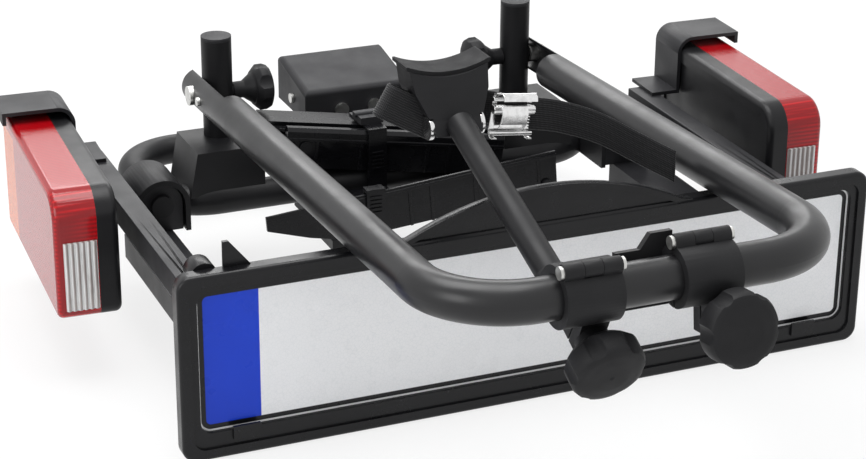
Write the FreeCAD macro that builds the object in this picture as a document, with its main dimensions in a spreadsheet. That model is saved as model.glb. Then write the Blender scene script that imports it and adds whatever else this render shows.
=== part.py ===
import FreeCAD, Part
import math
import os
import Sketcher

# Folded hitch bike rack, in mm. X runs across, +Y points to the car, +Z up, the floor is Z = 0.

# Sizes that drive the model
SIZES = {
    # licence plate and its holder
    "plate_wide": 520.0,
    "plate_high": 110.0,
    "plate_thick": 1.5,
    "plate_front_y": -115.0,
    "plate_low_z": 19.0,
    "holder_border": 13.0,
    "holder_foot": 19.0,
    "holder_head": 12.0,
    "holder_lip": 6.0,
    "holder_depth": 12.0,
    "holder_wall": 3.0,
    "holder_round": 3.0,
    "holder_corner": 11.0,
    "hollow_corner": 7.0,
    "step_inset": 8.5,
    "step_deep": 2.0,
    "step_corner": 9.0,
    "window_corner": 9.0,
    "lip_cover": 1.0,
    "arch_x": 3.0,
    "arch_rise": 27.0,
    "arch_radius": 242.0,
    "arch_flare": 30.0,
    "arch_thick": 5.0,
    "arch_rim": 4.0,
    "arch_rim_step": 2.0,
    "tab_x": 226.0,
    "tab_wide": 22.0,
    "tab_high": 19.0,
    "tab_tip": 4.0,
    "clip_left_x": -226.0,
    "clip_right_x": 224.0,
    "clip_wide": 20.0,
    "clip_high": 10.0,
    "clip_thick": 2.0,
    "clip_z": 13.0,
    "light_x": 250.0,
    "light_z": 130.0,
    "light_radius": 10.0,
    "light_drop": 16.0,
    "light_depth": 17.0,
    # tube ring of the frame
    "ring_tube": 12.5,
    "tube_wall": 2.0,
    "ring_x": 196.0,
    "ring_front_y": 190.0,
    "ring_back_y": 315.0,
    "ring_z": 64.0,
    "ring_bend": 50.0,
    "weep_hole": 2.0,
    "cheek_thick": 8.0,
    "cheek_low_z": 40.0,
    "cheek_top_z": 76.0,
    "tray_bar_x": 60.0,
    "tray_bar_wide": 20.0,
    "tray_bar_gap": 4.0,
    "tray_bar_low_z": 30.0,
    "tray_bar_top_z": 70.0,
    "tray_bar_front_y": 128.0,
    # posts
    "post_x": 134.0,
    "post_tube": 12.5,
    "post_foot_z": 108.0,
    "post_top_z": 190.0,
    "foot_inner_x": 108.0,
    "foot_outer_x": 165.0,
    "foot_flare": 7.0,
    "foot_front_y": 183.0,
    "foot_back_y": 241.0,
    "foot_low_z": 70.0,
    "cap_thick": 3.0,
    "cap_plug": 10.0,
    # hoop
    "pivot_y": 224.0,
    "pivot_z": 144.0,
    "hoop_tube": 15.0,
    "hoop_x": 142.0,
    "hoop_length": 511.0,
    "hoop_rise": 2.35,
    "hoop_bend": 60.0,
    "shell_reach": 60.0,
    "shell_end": 25.0,
    "shell_gap": 0.5,
    "pivot_bolt": 5.0,
    "pivot_head": 8.0,
    "pivot_head_high": 2.5,
    "pivot_nut": 8.5,
    "stud_head": 3.5,
    "stud_step": 22.0,
    # tow ball coupling
    "coupling_x": 42.0,
    "coupling_front_y": 230.0,
    "coupling_back_y": 302.0,
    "coupling_step_y": 256.0,
    "coupling_step_z": 94.0,
    "coupling_top_z": 115.0,
    "coupling_foot_z": 84.0,
    "ball_radius": 25.0,
    "ball_gap": 0.3,
    "ball_y": 266.0,
    "ball_z": 24.0,
    "jaw_x": 15.0,
    "jaw_thick": 8.5,
    "jaw_gap": 0.4,
    "jaw_top_room": 4.0,
    "jaw_back_room": 2.0,
    "jaw_inset": 1.0,
    "jaw_low_z": 8.0,
    "jaw_top_z": 62.0,
    "jaw_pivot_z": 55.0,
    "jaw_pin": 4.0,
    "jaw_pin_x": 20.0,
    "cover_x": 48.0,
    "cover_front_y": 252.0,
    "cover_back_y": 322.0,
    "cover_low_z": 96.0,
    "cover_front_z": 123.0,
    "cover_ridge_y": 316.0,
    "cover_ridge_z": 135.0,
    "cover_wall": 2.5,
    "cover_round": 5.0,
    "lever_y": 296.0,
    "lever_z": 106.0,
    "lever_pin": 5.0,
    "lever_pin_depth": 12.0,
    "lever_thick": 8.0,
    "lever_grip": 11.2,
    "lever_reach": 58.0,
    "lever_high": 14.0,
    "lever_end": 4.667,
    "lever_gap": 0.4,
    "washer": 9.0,
    "washer_thick": 3.0,
    "cover_bolt_x": 15.0,
    "cover_bolt_z": 104.0,
    "side_rivet_z": 108.0,
    "side_rivet": 4.2,
    "cover_bolt": 3.0,
    "cover_bolt_head": 6.0,
    "cover_bolt_long": 12.0,
    # brackets and plate arms
    "bracket_inner_x": 183.0,
    "bracket_outer_x": 228.0,
    "bracket_front_y": 147.0,
    "bracket_back_y": 197.0,
    "bracket_top_z": 104.0,
    "bracket_wall": 4.0,
    "bracket_pocket": 12.0,
    "arm_inner_x": 197.0,
    "arm_outer_x": 235.0,
    "arm_low_z": 39.0,
    "arm_top_z": 59.0,
    "ear_thick": 7.0,
    "ear_edge": 5.0,
    "ear_bolt": 5.0,
    "ear_bolt_head": 9.0,
    "ear_bolt_high": 5.0,
    # lamp arms and pivots
    "lamp_pivot_x": 243.0,
    "lamp_pivot_y": -89.0,
    "lamp_pivot": 4.0,
    "lamp_eye": 9.0,
    "lamp_block_top_z": 88.0,
    "lamp_nut": 7.0,
    "lamp_nut_high": 6.0,
    "lamp_arm_wide": 18.0,
    "lamp_arm_low_z": 88.0,
    "lamp_arm_top_z": 108.0,
    "lamp_arm_back_y": 222.0,
    "right_arm_back_y": 200.0,
    # lamps, in their own frame: near inner corner at the origin
    "lamp_x": -271.0,
    "lamp_y": 33.0,
    "lamp_z": 50.0,
    "lamp_turn": 2.65,
    "right_lamp_x": -263.5,
    "right_lamp_y": 9.5,
    "right_lamp_turn": -2.15,
    "lamp_long": 204.0,
    "lamp_high": 98.0,
    "shell_depth": 16.5,
    "lens_depth": 32.0,
    "lamp_wall": 3.0,
    "lamp_round": 5.0,
    "lamp_corner": 22.0,
    "lamp_heel": 8.0,
    "recess_margin": 12.0,
    "recess_depth": 1.5,
    "window_low": 8.0,
    "window_high": 54.0,
    "window_edge": 0.8,
    "window_wide": 25.0,
    "flute": 1.2,
    "flute_count": 6.0,
    "flute_radius": 1.44,
    "bulb_base": 8.0,
    "bulb_base_long": 8.0,
    "bulb_radius": 8.0,
    "bulb_glass": 5.6,
    "guard_sheet": 3.0,
    "guard_long": 44.0,
    "guard_lip": 7.0,
    "guard_end": 34.0,
    "guard_panel": 40.0,
    "guard_rise": 7.0,
    "guard_reach": 6.0,
    "guard_bend": 14.0,
    "guard_flange": 26.0,
    # front tray, folded with its right end up
    "front_tray_x": -128.0,
    "front_tray_y": 123.0,
    "front_tray_z": 70.0,
    "front_tray_tilt": 4.8,
    "front_tray_long": 256.0,
    "front_tray_wide": 52.0,
    "front_tray_high": 36.0,
    "front_tray_back": 12.0,
    "front_tray_cut_x": 70.0,
    "front_slope_x": 35.0,
    "front_tray_cut_z": 24.0,
    "front_slope_z": 9.6,
    # rear tray, folded with its left end up
    "rear_tray_x": -88.0,
    "rear_tray_y": 180.0,
    "rear_tray_z": 121.0,
    "rear_tray_tilt": 8.5,
    "rear_tray_turn": 4.5,
    "rear_tray_long": 191.0,
    "rear_tray_wide": 46.0,
    "rear_tray_high": 34.0,
    "rear_tray_back": 24.0,
    "rear_pin_inset": 16.5,
    "rear_pin_down": 16.0,
    "rear_tray_cut_x": 16.0,
    "rear_slope_z": 13.6,
    "shoulder": 10.0,
    "shoulder_round": 3.0,
    "groove": 7.0,
    "groove_deep": 4.0,
    "groove_edge": 2.0,
    "tray_wall": 2.5,
    "window_inset": 7.5,
    "rib_wide": 2.5,
    "rib_high": 1.2,
    "front_rib_top": 2.0,
    "rear_rib_top": 8.0,
    "rib_pair": 19.0,
    "rib_pitch": 58.0,
    "rib_start": 6.0,
    "inner_gap": 0.3,
    "rung": 8.0,
    "rung_pitch": 45.0,
    "ladder_rail": 4.0,
    "ladder_high": 6.0,
    "base_high": 8.0,
    "base_post_z": 56.0,
    "base_rail": 24.0,
    "base_back": 12.0,
    "base_front": 6.0,
    "base_long": 186.0,
    "base_post_x": 148.8,
    "tray_pin": 3.0,
    "tray_pin_head": 5.0,
    "tray_pin_tail": 1.667,
    "tray_pin_inset": 10.0,
    "tray_pin_down": 7.5,
    # wheel strap
    "strap_x": -21.0,
    "strap_wide": 16.0,
    "strap_thick": 2.5,
    "strap_step": 22.0,
    "strap_drop": 20.0,
    "strap_tail": 22.0,
    "tooth": 1.2,
    "tooth_pitch": 3.4,
    "tooth_inset": 3.0,
    "tooth_count": 5.0,
    "ratchet_wide": 20.0,
    "ratchet_long": 20.0,
    "ratchet_high": 6.0,
    "ratchet_pin": 2.0,
    "ratchet_pin_reach": 4.0,
    # clamps on the crossbar
    "clamp_gap": 0.3,
    "clamp_wall": 6.0,
    "long_clamp_x": -72.0,
    "long_clamp_wide": 41.0,
    "long_clamp_tilt": 26.0,
    "short_clamp_x": 14.0,
    "short_clamp_wide": 41.0,
    "short_clamp_tilt": -8.0,
    "clamp_split": 1.5,
    "hinge_up": 23.5,
    "hinge_barrel": 5.5,
    "hinge_pin": 2.5,
    "knuckle": 14.0,
    "pin_head": 4.5,
    "lug_tip": 11.0,
    "lug_thick": 9.0,
    "lug_wide": 20.0,
    "long_lug": 37.0,
    "long_lug_shift": 11.0,
    "short_lug": 31.0,
    "short_lug_shift": 9.0,
    "tail_long": 34.0,
    "tail_thick": 5.0,
    "tail_top": 17.0,
    "tail_rise": 27.0,
    "tail_flare": 16.0,
    "tail_low": 23.0,
    "tail_waist": 8.0,
    "tail_hole": 3.0,
    # lobed knobs
    "small_knob": 19.0,
    "small_knob_high": 15.0,
    "small_hub": 7.0,
    "small_neck": 13.0,
    "small_hub_high": 17.0,
    "big_knob": 26.0,
    "big_knob_high": 22.0,
    "big_hub": 12.0,
    "big_neck": 14.0,
    "big_hub_high": 11.0,
    "knob_lobes": 6.0,
    "lobe_cut": 9.0,
    "lobe_out": 6.3,
    "knob_dome": 1.5,
    "knob_crown": 1.125,
    "knob_round": 5.0,
    "knob_edge": 1.5,
    "knob_seat": 0.3,
    "stud": 4.0,
    "stud_gap": 0.1,
    "long_stud": 19.0,
    "post_stud": 30.0,
    # long holder, measured from the middle of the crossbar
    "holder_x": -50.0,
    "holder_tube": 10.0,
    "holder_root_y": 23.6,
    "holder_root_z": -18.0,
    "holder_neck_y": 204.6,
    "holder_neck_z": 45.0,
    "socket_wall": 3.5,
    "socket_long": 26.0,
    "socket_back": 6.0,
    "cradle_wide": 62.0,
    "cradle_foot_wide": 32.0,
    "cradle_low_z": 41.0,
    "cradle_nose": 6.0,
    "cradle_chin": 4.0,
    "cradle_heel": 8.0,
    "cradle_skirt": 10.0,
    "cradle_flare": 4.0,
    "cradle_flare_z": 6.0,
    "cradle_waist": 3.0,
    "cradle_waist_z": 24.0,
    "cradle_top_z": 84.05,
    "cradle_front_y": 208.6,
    "cradle_brow_y": 226.6,
    "cradle_back_y": 250.6,
    "saddle_radius": 77.0,
    "saddle_dip": 6.5,
    "pad_thick": 3.0,
    "pad_overhang": 1.5,
    "rivet_high": 2.5,
    "bolt_head": 8.5,
    "bolt_head_high": 3.0,
    "bolt_shank": 2.5,
    "bolt_reach": 18.0,
    "bolt_y": 214.6,
    "bolt_z": 40.5,
    "web_thick": 2.0,
    "web_wide": 25.0,
    "web_loop": 42.0,
    "web_loop_gap": 8.0,
    "web_loop_tilt": 30.0,
    "web_loop_start": 17.0,
    "web_loop_y": 219.6,
    "web_loop_z": 27.0,
    "buckle_y": 218.6,
    "buckle_z": 25.0,
    "bulb_first": 36.0,
    "bulb_pitch": 60.0,
    "bulb_count": 3.0,
    "buckle_wide": 32.0,
    "buckle_gap": -3.0,
    "buckle_high": 30.0,
    "buckle_thick": 3.0,
}

doc = FreeCAD.newDocument("bike_rack")
sheet = doc.addObject("Spreadsheet::Sheet", "Sizes")
for row, (alias, number) in enumerate(SIZES.items(), 1):
    sheet.set("A%d" % row, alias)
    sheet.set("B%d" % row, str(number))
    sheet.setAlias("B%d" % row, alias)
doc.recompute()


class Size:
    """A number and the expression that ties it to the sheet."""

    def __init__(self, value, text):
        self.value = float(value)
        self.text = text

    def __float__(self):
        return self.value

    def __add__(self, other):
        other = size(other)
        return Size(self.value + other.value, "(%s + %s)" % (self.text, other.text))

    def __sub__(self, other):
        other = size(other)
        return Size(self.value - other.value, "(%s - %s)" % (self.text, other.text))

    def __mul__(self, other):
        other = size(other)
        return Size(self.value * other.value, "(%s * %s)" % (self.text, other.text))

    def __truediv__(self, other):
        other = size(other)
        return Size(self.value / other.value, "(%s / %s)" % (self.text, other.text))

    def __neg__(self):
        return Size(-self.value, "(0 - %s)" % self.text)

    def __radd__(self, other):
        return size(other) + self

    def __rsub__(self, other):
        return size(other) - self

    def __rmul__(self, other):
        return size(other) * self


def size(value):
    if isinstance(value, Size):
        return value
    return Size(value, "(%r)" % float(value))


class Sheet:
    """The sheet's sizes by name."""

    def __getattr__(self, alias):
        return Size(getattr(sheet, alias), "Sizes." + alias)


s = Sheet()
Vector = FreeCAD.Vector
Rotation = FreeCAD.Rotation
OVER = 1.0
FAR = 60.0
NODES = []
TURN = {
    "X": Rotation(Vector(0, 1, 0), 90),
    "Y": Rotation(Vector(1, 0, 0), -90),
    "Z": Rotation(),
}
FLAT = {"XY": "XY_Plane", "XZ": "XZ_Plane", "YZ": "YZ_Plane"}


def bind(obj, path, value):
    value = size(value)
    obj.setExpression(path, value.text)
    return value.value


def bind_base(obj, x, y, z):
    for axis, value in zip("xyz", (x, y, z)):
        bind(obj, "Placement.Base." + axis, value)


def box(x0, x1, y0, y1, z0, z1):
    obj = doc.addObject("Part::Box", "box")
    bind(obj, "Length", size(x1) - x0)
    bind(obj, "Width", size(y1) - y0)
    bind(obj, "Height", size(z1) - z0)
    bind_base(obj, x0, y0, z0)
    return obj


def rod(axis, radius, start, end, a, b):
    """A cylinder along an axis; a and b are its place on the two other axes."""
    obj = doc.addObject("Part::Cylinder", "rod")
    obj.Placement = FreeCAD.Placement(Vector(), TURN[axis])
    bind(obj, "Radius", radius)
    bind(obj, "Height", size(end) - start)
    place = {"X": (start, a, b), "Y": (a, start, b), "Z": (a, b, start)}
    bind_base(obj, *place[axis])
    return obj


def ball(radius, x, y, z):
    obj = doc.addObject("Part::Sphere", "ball")
    bind(obj, "Radius", radius)
    bind_base(obj, x, y, z)
    return obj


def join(*parts):
    if len(parts) == 1:
        return parts[0]
    obj = doc.addObject("Part::MultiFuse", "join")
    obj.Shapes = list(parts)
    obj.Refine = True
    return obj


def cut(base, *tools):
    obj = doc.addObject("Part::Cut", "cut")
    obj.Base = base
    obj.Tool = join(*tools)
    return obj


def common(first, second):
    obj = doc.addObject("Part::Common", "common")
    obj.Base = first
    obj.Tool = second
    return obj


def group(*parts):
    obj = doc.addObject("Part::Compound", "group")
    obj.Links = list(parts)
    return obj


def mirror(source):
    obj = doc.addObject("Part::Mirroring", "mirror")
    obj.Source = source
    obj.Normal = Vector(1, 0, 0)
    return obj


def shape(result):
    obj = doc.addObject("Part::Feature", "shape")
    obj.Shape = result
    return obj


def node(name, obj):
    obj.Label = name
    NODES.append((name, obj))
    return obj


def new_body(name):
    return doc.addObject("PartDesign::Body", name)


def new_sketch(body, plane, offset=0.0):
    sketch = body.newObject("Sketcher::SketchObject", "sketch")
    role = FLAT[plane]
    origin = [item for item in body.Origin.OriginFeatures if item.Role == role][0]
    sketch.AttachmentSupport = [(origin, "")]
    sketch.MapMode = "FlatFace"
    bind(sketch, "AttachmentOffset.Base.z", offset)
    return sketch


def draw(sketch, points):
    """A closed outline whose corners are tied to the sheet."""
    first = sketch.GeometryCount
    spots = [Vector(float(size(a)), float(size(b)), 0) for a, b in points]
    for index, spot in enumerate(spots):
        after = spots[(index + 1) % len(spots)]
        sketch.addGeometry(Part.LineSegment(spot, after), False)
    for index in range(len(spots)):
        line = first + index
        after = first + (index + 1) % len(spots)
        sketch.addConstraint(Sketcher.Constraint("Coincident", line, 2, after, 1))
    for index, pair in enumerate(points):
        for kind, value in zip(("DistanceX", "DistanceY"), pair):
            value = size(value)
            made = sketch.addConstraint(
                Sketcher.Constraint(kind, -1, 1, first + index, 1, value.value))
            sketch.setExpression("Constraints[%d]" % made, value.text)


def ring(sketch, a, b, radius):
    first = sketch.GeometryCount
    centre = Vector(float(size(a)), float(size(b)), 0)
    sketch.addGeometry(Part.Circle(centre, Vector(0, 0, 1), float(size(radius))), False)
    for kind, value in (("DistanceX", a), ("DistanceY", b)):
        value = size(value)
        made = sketch.addConstraint(Sketcher.Constraint(kind, -1, 1, first, 3, value.value))
        sketch.setExpression("Constraints[%d]" % made, value.text)
    made = sketch.addConstraint(Sketcher.Constraint("Radius", first, float(size(radius))))
    sketch.setExpression("Constraints[%d]" % made, size(radius).text)


def pad(body, sketch, length):
    feature = body.newObject("PartDesign::Pad", "pad")
    feature.Profile = sketch
    bind(feature, "Length", length)
    sketch.Visibility = False
    return feature


def pocket(body, sketch, length, flip=False):
    feature = body.newObject("PartDesign::Pocket", "pocket")
    feature.Profile = sketch
    bind(feature, "Length", length)
    feature.Reversed = flip
    return feature


def revolve(body, sketch):
    feature = body.newObject("PartDesign::Revolution", "revolution")
    feature.Profile = sketch
    feature.ReferenceAxis = (sketch, ["V_Axis"])
    feature.Angle = 360
    return feature


def round_edges(body, last, radius, test):
    """Fillets every edge of the last feature that passes the test."""
    doc.recompute()
    names = []
    for index, edge in enumerate(last.Shape.Edges, 1):
        if test(edge):
            names.append("Edge%d" % index)
    feature = body.newObject("PartDesign::Fillet", "fillet")
    feature.Base = (last, names)
    bind(feature, "Radius", radius)
    return feature


def runs_along(edge, axis):
    if edge.Curve.TypeId != "Part::GeomLine":
        return False
    return abs(abs(edge.Curve.Direction.dot(axis)) - 1) < 1e-6


def prism(plane, points, start, end, holes=()):
    """A straight block from start to end along the plane's own axis."""
    body = new_body("prism")
    far = -size(end) if plane == "XZ" else start
    sketch = new_sketch(body, plane, far)
    draw(sketch, points)
    for hole in holes:
        ring(sketch, *hole)
    body.Tip = pad(body, sketch, size(end) - start)
    return body


def root(value):
    value = size(value)
    return Size(math.sqrt(value.value), "sqrt(%s)" % value.text)


def clipped(corner, a0, a1, b0, b1):
    """A rectangle with its four corners cut off."""
    return [(a0 + corner, b0), (a1 - corner, b0), (a1, b0 + corner), (a1, b1 - corner), (a1 - corner, b1),
            (a0 + corner, b1), (a0, b1 - corner), (a0, b0 + corner)]


def rectangle(a0, a1, b0, b1):
    return [(a0, b0), (a1, b0), (a1, b1), (a0, b1)]


# Tube ring of the frame with the cheek plates and the bars under the front tray
def ring_solid(radius):
    """The closed racetrack tube as straight runs and torus corners."""
    bend = float(s.ring_bend)
    wide = float(s.ring_x)
    front = float(s.ring_front_y)
    back = float(s.ring_back_y)
    level = float(s.ring_z)
    pieces = []
    for x, y, start in ((wide - bend, front + bend, 270), (wide - bend, back - bend, 0),
                        (-wide + bend, back - bend, 90), (-wide + bend, front + bend, 180)):
        corner = Part.makeTorus(bend, radius, Vector(), Vector(0, 0, 1), 0, 360, 90)
        corner.Placement = FreeCAD.Placement(Vector(x, y, level), Rotation(Vector(0, 0, 1), start))
        pieces.append(corner)
    for y in (front, back):
        run = Part.makeCylinder(radius, 2 * (wide - bend), Vector(-wide + bend, y, level), Vector(1, 0, 0))
        pieces.append(run)
    for x in (-wide, wide):
        run = Part.makeCylinder(radius, back - front - 2 * bend, Vector(x, front + bend, level),
                                Vector(0, 1, 0))
        pieces.append(run)
    return pieces[0].fuse(pieces[1:]).removeSplitter()


ring_full = shape(ring_solid(float(s.ring_tube)))
ring_hollow = shape(ring_solid(float(s.ring_tube - s.tube_wall)))
cheeks = []
for side in (-1, 1):
    near = s.coupling_x * side
    far = (s.coupling_x + s.cheek_thick) * side
    low, high = (near, far) if side > 0 else (far, near)
    cheeks.append(box(low, high, s.ring_front_y, s.ring_back_y, s.cheek_low_z, s.cheek_top_z))


# Trays: each is drawn flat in its own frame and then put in place
def tray_place(x, y, z, tilt, turn):
    rotation = Rotation(Vector(0, 0, 1), -turn) * Rotation(Vector(0, 1, 0), tilt)
    return FreeCAD.Placement(Vector(x, y, z), rotation)


FRONT_PLACE = tray_place(float(s.front_tray_x), float(s.front_tray_y), float(s.front_tray_z),
                         -float(s.front_tray_tilt), 0.0)
REAR_PLACE = tray_place(float(s.rear_tray_x), float(s.rear_tray_y), float(s.rear_tray_z),
                        float(s.rear_tray_tilt), float(s.rear_tray_turn))
BASE_PLACE = tray_place(float(s.rear_tray_x), float(s.rear_tray_y), float(s.ring_z + s.ring_tube),
                        0.0, float(s.rear_tray_turn))


def placed(obj, place):
    """The same solid in the tray's place."""
    holder = group(obj)
    holder.Placement = place
    return holder


front_block = placed(box(-OVER, s.front_tray_long + OVER, 0, s.front_tray_wide,
                         -s.front_tray_high, s.front_tray_high), FRONT_PLACE)
bars = []
for x in (-s.tray_bar_x, s.tray_bar_x):
    bars.append(box(x - s.tray_bar_wide / 2, x + s.tray_bar_wide / 2, s.tray_bar_front_y,
                    s.ring_front_y - s.tray_bar_gap,
                    s.tray_bar_low_z, s.tray_bar_top_z))
weep = rod("Z", s.weep_hole, s.ring_z - s.ring_tube - OVER, s.ring_z, s.ring_x / 2, s.ring_back_y)
skeleton = cut(join(ring_full, *cheeks, *bars), front_block)
frame_loop = node("frame_loop", cut(skeleton, ring_hollow, weep))

# Posts with their foot boxes and caps
foot = prism("XZ", [(-s.foot_inner_x, s.foot_low_z), (-s.foot_outer_x - s.foot_flare, s.foot_low_z),
                    (-s.foot_outer_x, s.post_foot_z), (-s.foot_inner_x, s.post_foot_z)],
             s.foot_front_y, s.foot_back_y)
post_rod = rod("Z", s.post_tube, s.post_foot_z - OVER, s.post_top_z, -s.post_x, s.pivot_y)
post_bore = rod("Z", s.post_tube - s.tube_wall, s.post_foot_z, s.post_top_z + OVER, -s.post_x, s.pivot_y)
post_cross = rod("X", s.pivot_bolt + s.stud_gap, -s.post_x - s.post_tube - OVER, -s.post_x + s.post_tube + OVER,
                 s.pivot_y, s.pivot_z)
post_left = node("post_left", cut(join(foot, post_rod), post_bore, post_cross, ring_full))
node("post_right", mirror(post_left))
caps = []
for x in (-s.post_x, s.post_x):
    top = rod("Z", s.post_tube, s.post_top_z, s.post_top_z + s.cap_thick, x, s.pivot_y)
    plug = rod("Z", s.post_tube - s.tube_wall, s.post_top_z - s.cap_plug, s.post_top_z, x, s.pivot_y)
    caps.append(join(top, plug))
node("post_caps", group(*caps))


# Hoop: legs, two bends and the crossbar, drawn level and then tipped by its rise
def hoop_solid(radius):
    half = float(s.hoop_x)
    bend = float(s.hoop_bend)
    reach = float(s.hoop_length)
    tail = float(s.shell_end)
    pieces = []
    for side in (-1, 1):
        leg = Part.makeCylinder(radius, reach - bend + tail, Vector(side * half, tail, 0), Vector(0, -1, 0))
        start = 180 if side < 0 else 270
        corner = Part.makeTorus(bend, radius, Vector(), Vector(0, 0, 1), 0, 360, 90)
        corner.Placement = FreeCAD.Placement(Vector(side * (half - bend), bend - reach, 0),
                                             Rotation(Vector(0, 0, 1), start))
        pieces += [leg, corner]
    pieces.append(Part.makeCylinder(radius, 2 * (half - bend), Vector(bend - half, -reach, 0), Vector(1, 0, 0)))
    return pieces[0].fuse(pieces[1:]).removeSplitter()


HOOP_PLACE = FreeCAD.Placement(Vector(0, float(s.pivot_y), float(s.pivot_z)),
                               Rotation(Vector(1, 0, 0), -float(s.hoop_rise)))


def hoop_part(result):
    obj = shape(result)
    obj.Placement = HOOP_PLACE
    return obj


hoop_full = hoop_part(hoop_solid(float(s.hoop_tube)))
hoop_inside = hoop_part(hoop_solid(float(s.hoop_tube - s.tube_wall)))
openings = []
for side in (-1, 1):
    plane = float(s.post_x + s.post_tube + s.shell_gap)
    low = min(side * plane, side * float(s.hoop_x - s.hoop_tube * 2))
    block = Part.makeBox(plane - float(s.hoop_x - s.hoop_tube * 2), float(s.shell_reach + s.shell_end) + OVER,
                         float(s.hoop_tube * 4), Vector(low, -float(s.shell_reach), -float(s.hoop_tube * 2)))
    openings.append(hoop_part(block))
pivot_hole = rod("X", s.pivot_bolt, -s.hoop_x * 2, s.hoop_x * 2, s.pivot_y, s.pivot_z)
hoop = node("hoop", cut(hoop_full, hoop_inside, pivot_hole, *openings))
bolts = []
for side in (-1, 1):
    outer = s.hoop_x + s.hoop_tube
    spans = ((s.pivot_head, outer - s.pivot_head_high / 2, outer + s.pivot_head_high),
             (s.pivot_bolt, outer - s.tube_wall * 2, outer),
             (s.pivot_head, outer - s.tube_wall - s.pivot_nut, outer - s.tube_wall / 2))
    steps = []
    for radius, near, far in spans:
        low, high = (near, far) if side > 0 else (-far, -near)
        steps.append(rod("X", radius, low, high, s.pivot_y, s.pivot_z))
    near = s.hoop_x + s.hoop_tube - s.tube_wall / 2
    far = s.hoop_x + s.hoop_tube + s.tube_wall
    low, high = (near, far) if side > 0 else (-far, -near)
    head = rod("X", s.stud_head, low, high, s.pivot_y - s.stud_step, s.pivot_z + s.tube_wall)
    low = s.hoop_x if side > 0 else -s.hoop_x - s.hoop_tube + s.tube_wall * 2
    bore = rod("X", s.pivot_bolt + s.stud_gap, low, low + s.hoop_tube - s.tube_wall * 2, s.pivot_y, s.pivot_z)
    bolts.append(cut(join(*steps), bore, hoop))
    bolts.append(cut(head, hoop))
node("hoop_bolts", group(*bolts))


# Lobed knob: revolved about Z, its face at the top, stud and hub below
def knob(radius, high, hub, neck, hub_high, stud, stud_long):
    body = new_body("knob")
    sketch = new_sketch(body, "XZ")
    soft = s.knob_round
    draw(sketch, [(0, -hub_high - stud_long), (stud, -hub_high - stud_long), (stud, -hub_high),
                  (hub, -hub_high), (hub, -hub_high / 2), (neck, 0), (radius - soft, 0), (radius, soft),
                  (radius, high - soft), (radius - s.knob_edge, high - s.knob_edge), (radius - soft, high),
                  (radius / 2, high + s.knob_crown), (0, high + s.knob_dome)])
    turned = revolve(body, sketch)
    notch = new_sketch(body, "XY", high + s.knob_dome + OVER)
    ring(notch, radius + s.lobe_out, 0, s.lobe_cut)
    groove = pocket(body, notch, high + s.knob_dome + OVER * 2)
    doc.recompute()
    pattern = body.newObject("PartDesign::PolarPattern", "lobes")
    pattern.Originals = [groove]
    axis = [item for item in body.Origin.OriginFeatures if item.Role == "Z_Axis"][0]
    pattern.Axis = (axis, [""])
    pattern.Angle = 360
    bind(pattern, "Occurrences", s.knob_lobes)
    body.Tip = pattern
    return body


def put(body, x, y, z, rotation):
    body.Placement = FreeCAD.Placement(Vector(), rotation)
    bind_base(body, x, y, z)
    return body


for name, side in (("post_knob_left", 1), ("post_knob_right", -1)):
    base = knob(s.small_knob, s.small_knob_high, s.small_hub, s.small_neck, s.small_hub_high, s.pivot_bolt,
                s.post_stud)
    reach = -s.post_x + s.post_tube + s.knob_seat + s.small_hub_high
    turned = put(base, reach if side > 0 else -reach, s.pivot_y, s.pivot_z,
                 Rotation(Vector(0, 1, 0), 90 * side))
    node(name, turned)

# Tow ball coupling: housing, jaw, cover, lever, pin, washer and fasteners
low_block = box(-s.coupling_x, s.coupling_x, s.coupling_front_y, s.coupling_back_y, 0, s.coupling_step_z)
high_block = box(-s.coupling_x, s.coupling_x, s.coupling_step_y, s.coupling_back_y,
                 s.coupling_step_z - OVER, s.coupling_top_z)
socket = s.ball_radius + s.ball_gap
ball_cup = ball(socket, 0, s.ball_y, s.ball_z)
ball_mouth = rod("Z", socket, -OVER, s.ball_z, 0, s.ball_y)
jaw_back = s.coupling_front_y + s.jaw_inset + s.jaw_thick
slot = box(-s.jaw_x - s.jaw_gap, s.jaw_x + s.jaw_gap, s.coupling_front_y - OVER, jaw_back + s.jaw_back_room,
           -OVER, s.jaw_top_z + s.jaw_top_room)
jaw_axis_y = s.coupling_front_y + s.jaw_inset + s.jaw_thick / 2
jaw_hole = rod("X", s.jaw_pin + s.stud_gap, -s.jaw_pin_x - s.jaw_gap, s.jaw_pin_x + s.jaw_gap, jaw_axis_y,
               s.jaw_pivot_z)
lever_hole = rod("X", s.lever_pin + s.stud_gap, s.coupling_x - s.lever_pin_depth, s.coupling_x + OVER,
                 s.lever_y, s.lever_z)
bolt_rods = []
for x in (-s.cover_bolt_x, s.cover_bolt_x):
    bolt_rods.append(rod("Y", s.cover_bolt, s.cover_front_y, s.cover_front_y + s.cover_bolt_long,
                         x, s.cover_bolt_z))
node("coupling_housing", cut(join(low_block, high_block), ball_cup, ball_mouth, slot, jaw_hole, lever_hole,
                             *bolt_rods))
jaw_block = box(-s.jaw_x, s.jaw_x, s.coupling_front_y + s.jaw_inset, jaw_back, s.jaw_low_z, s.jaw_top_z)
jaw_axle = rod("X", s.jaw_pin, -s.jaw_pin_x, s.jaw_pin_x, jaw_axis_y, s.jaw_pivot_z)
node("coupling_jaw", cut(join(jaw_block, jaw_axle), ball(socket, 0, s.ball_y, s.ball_z)))

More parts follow.
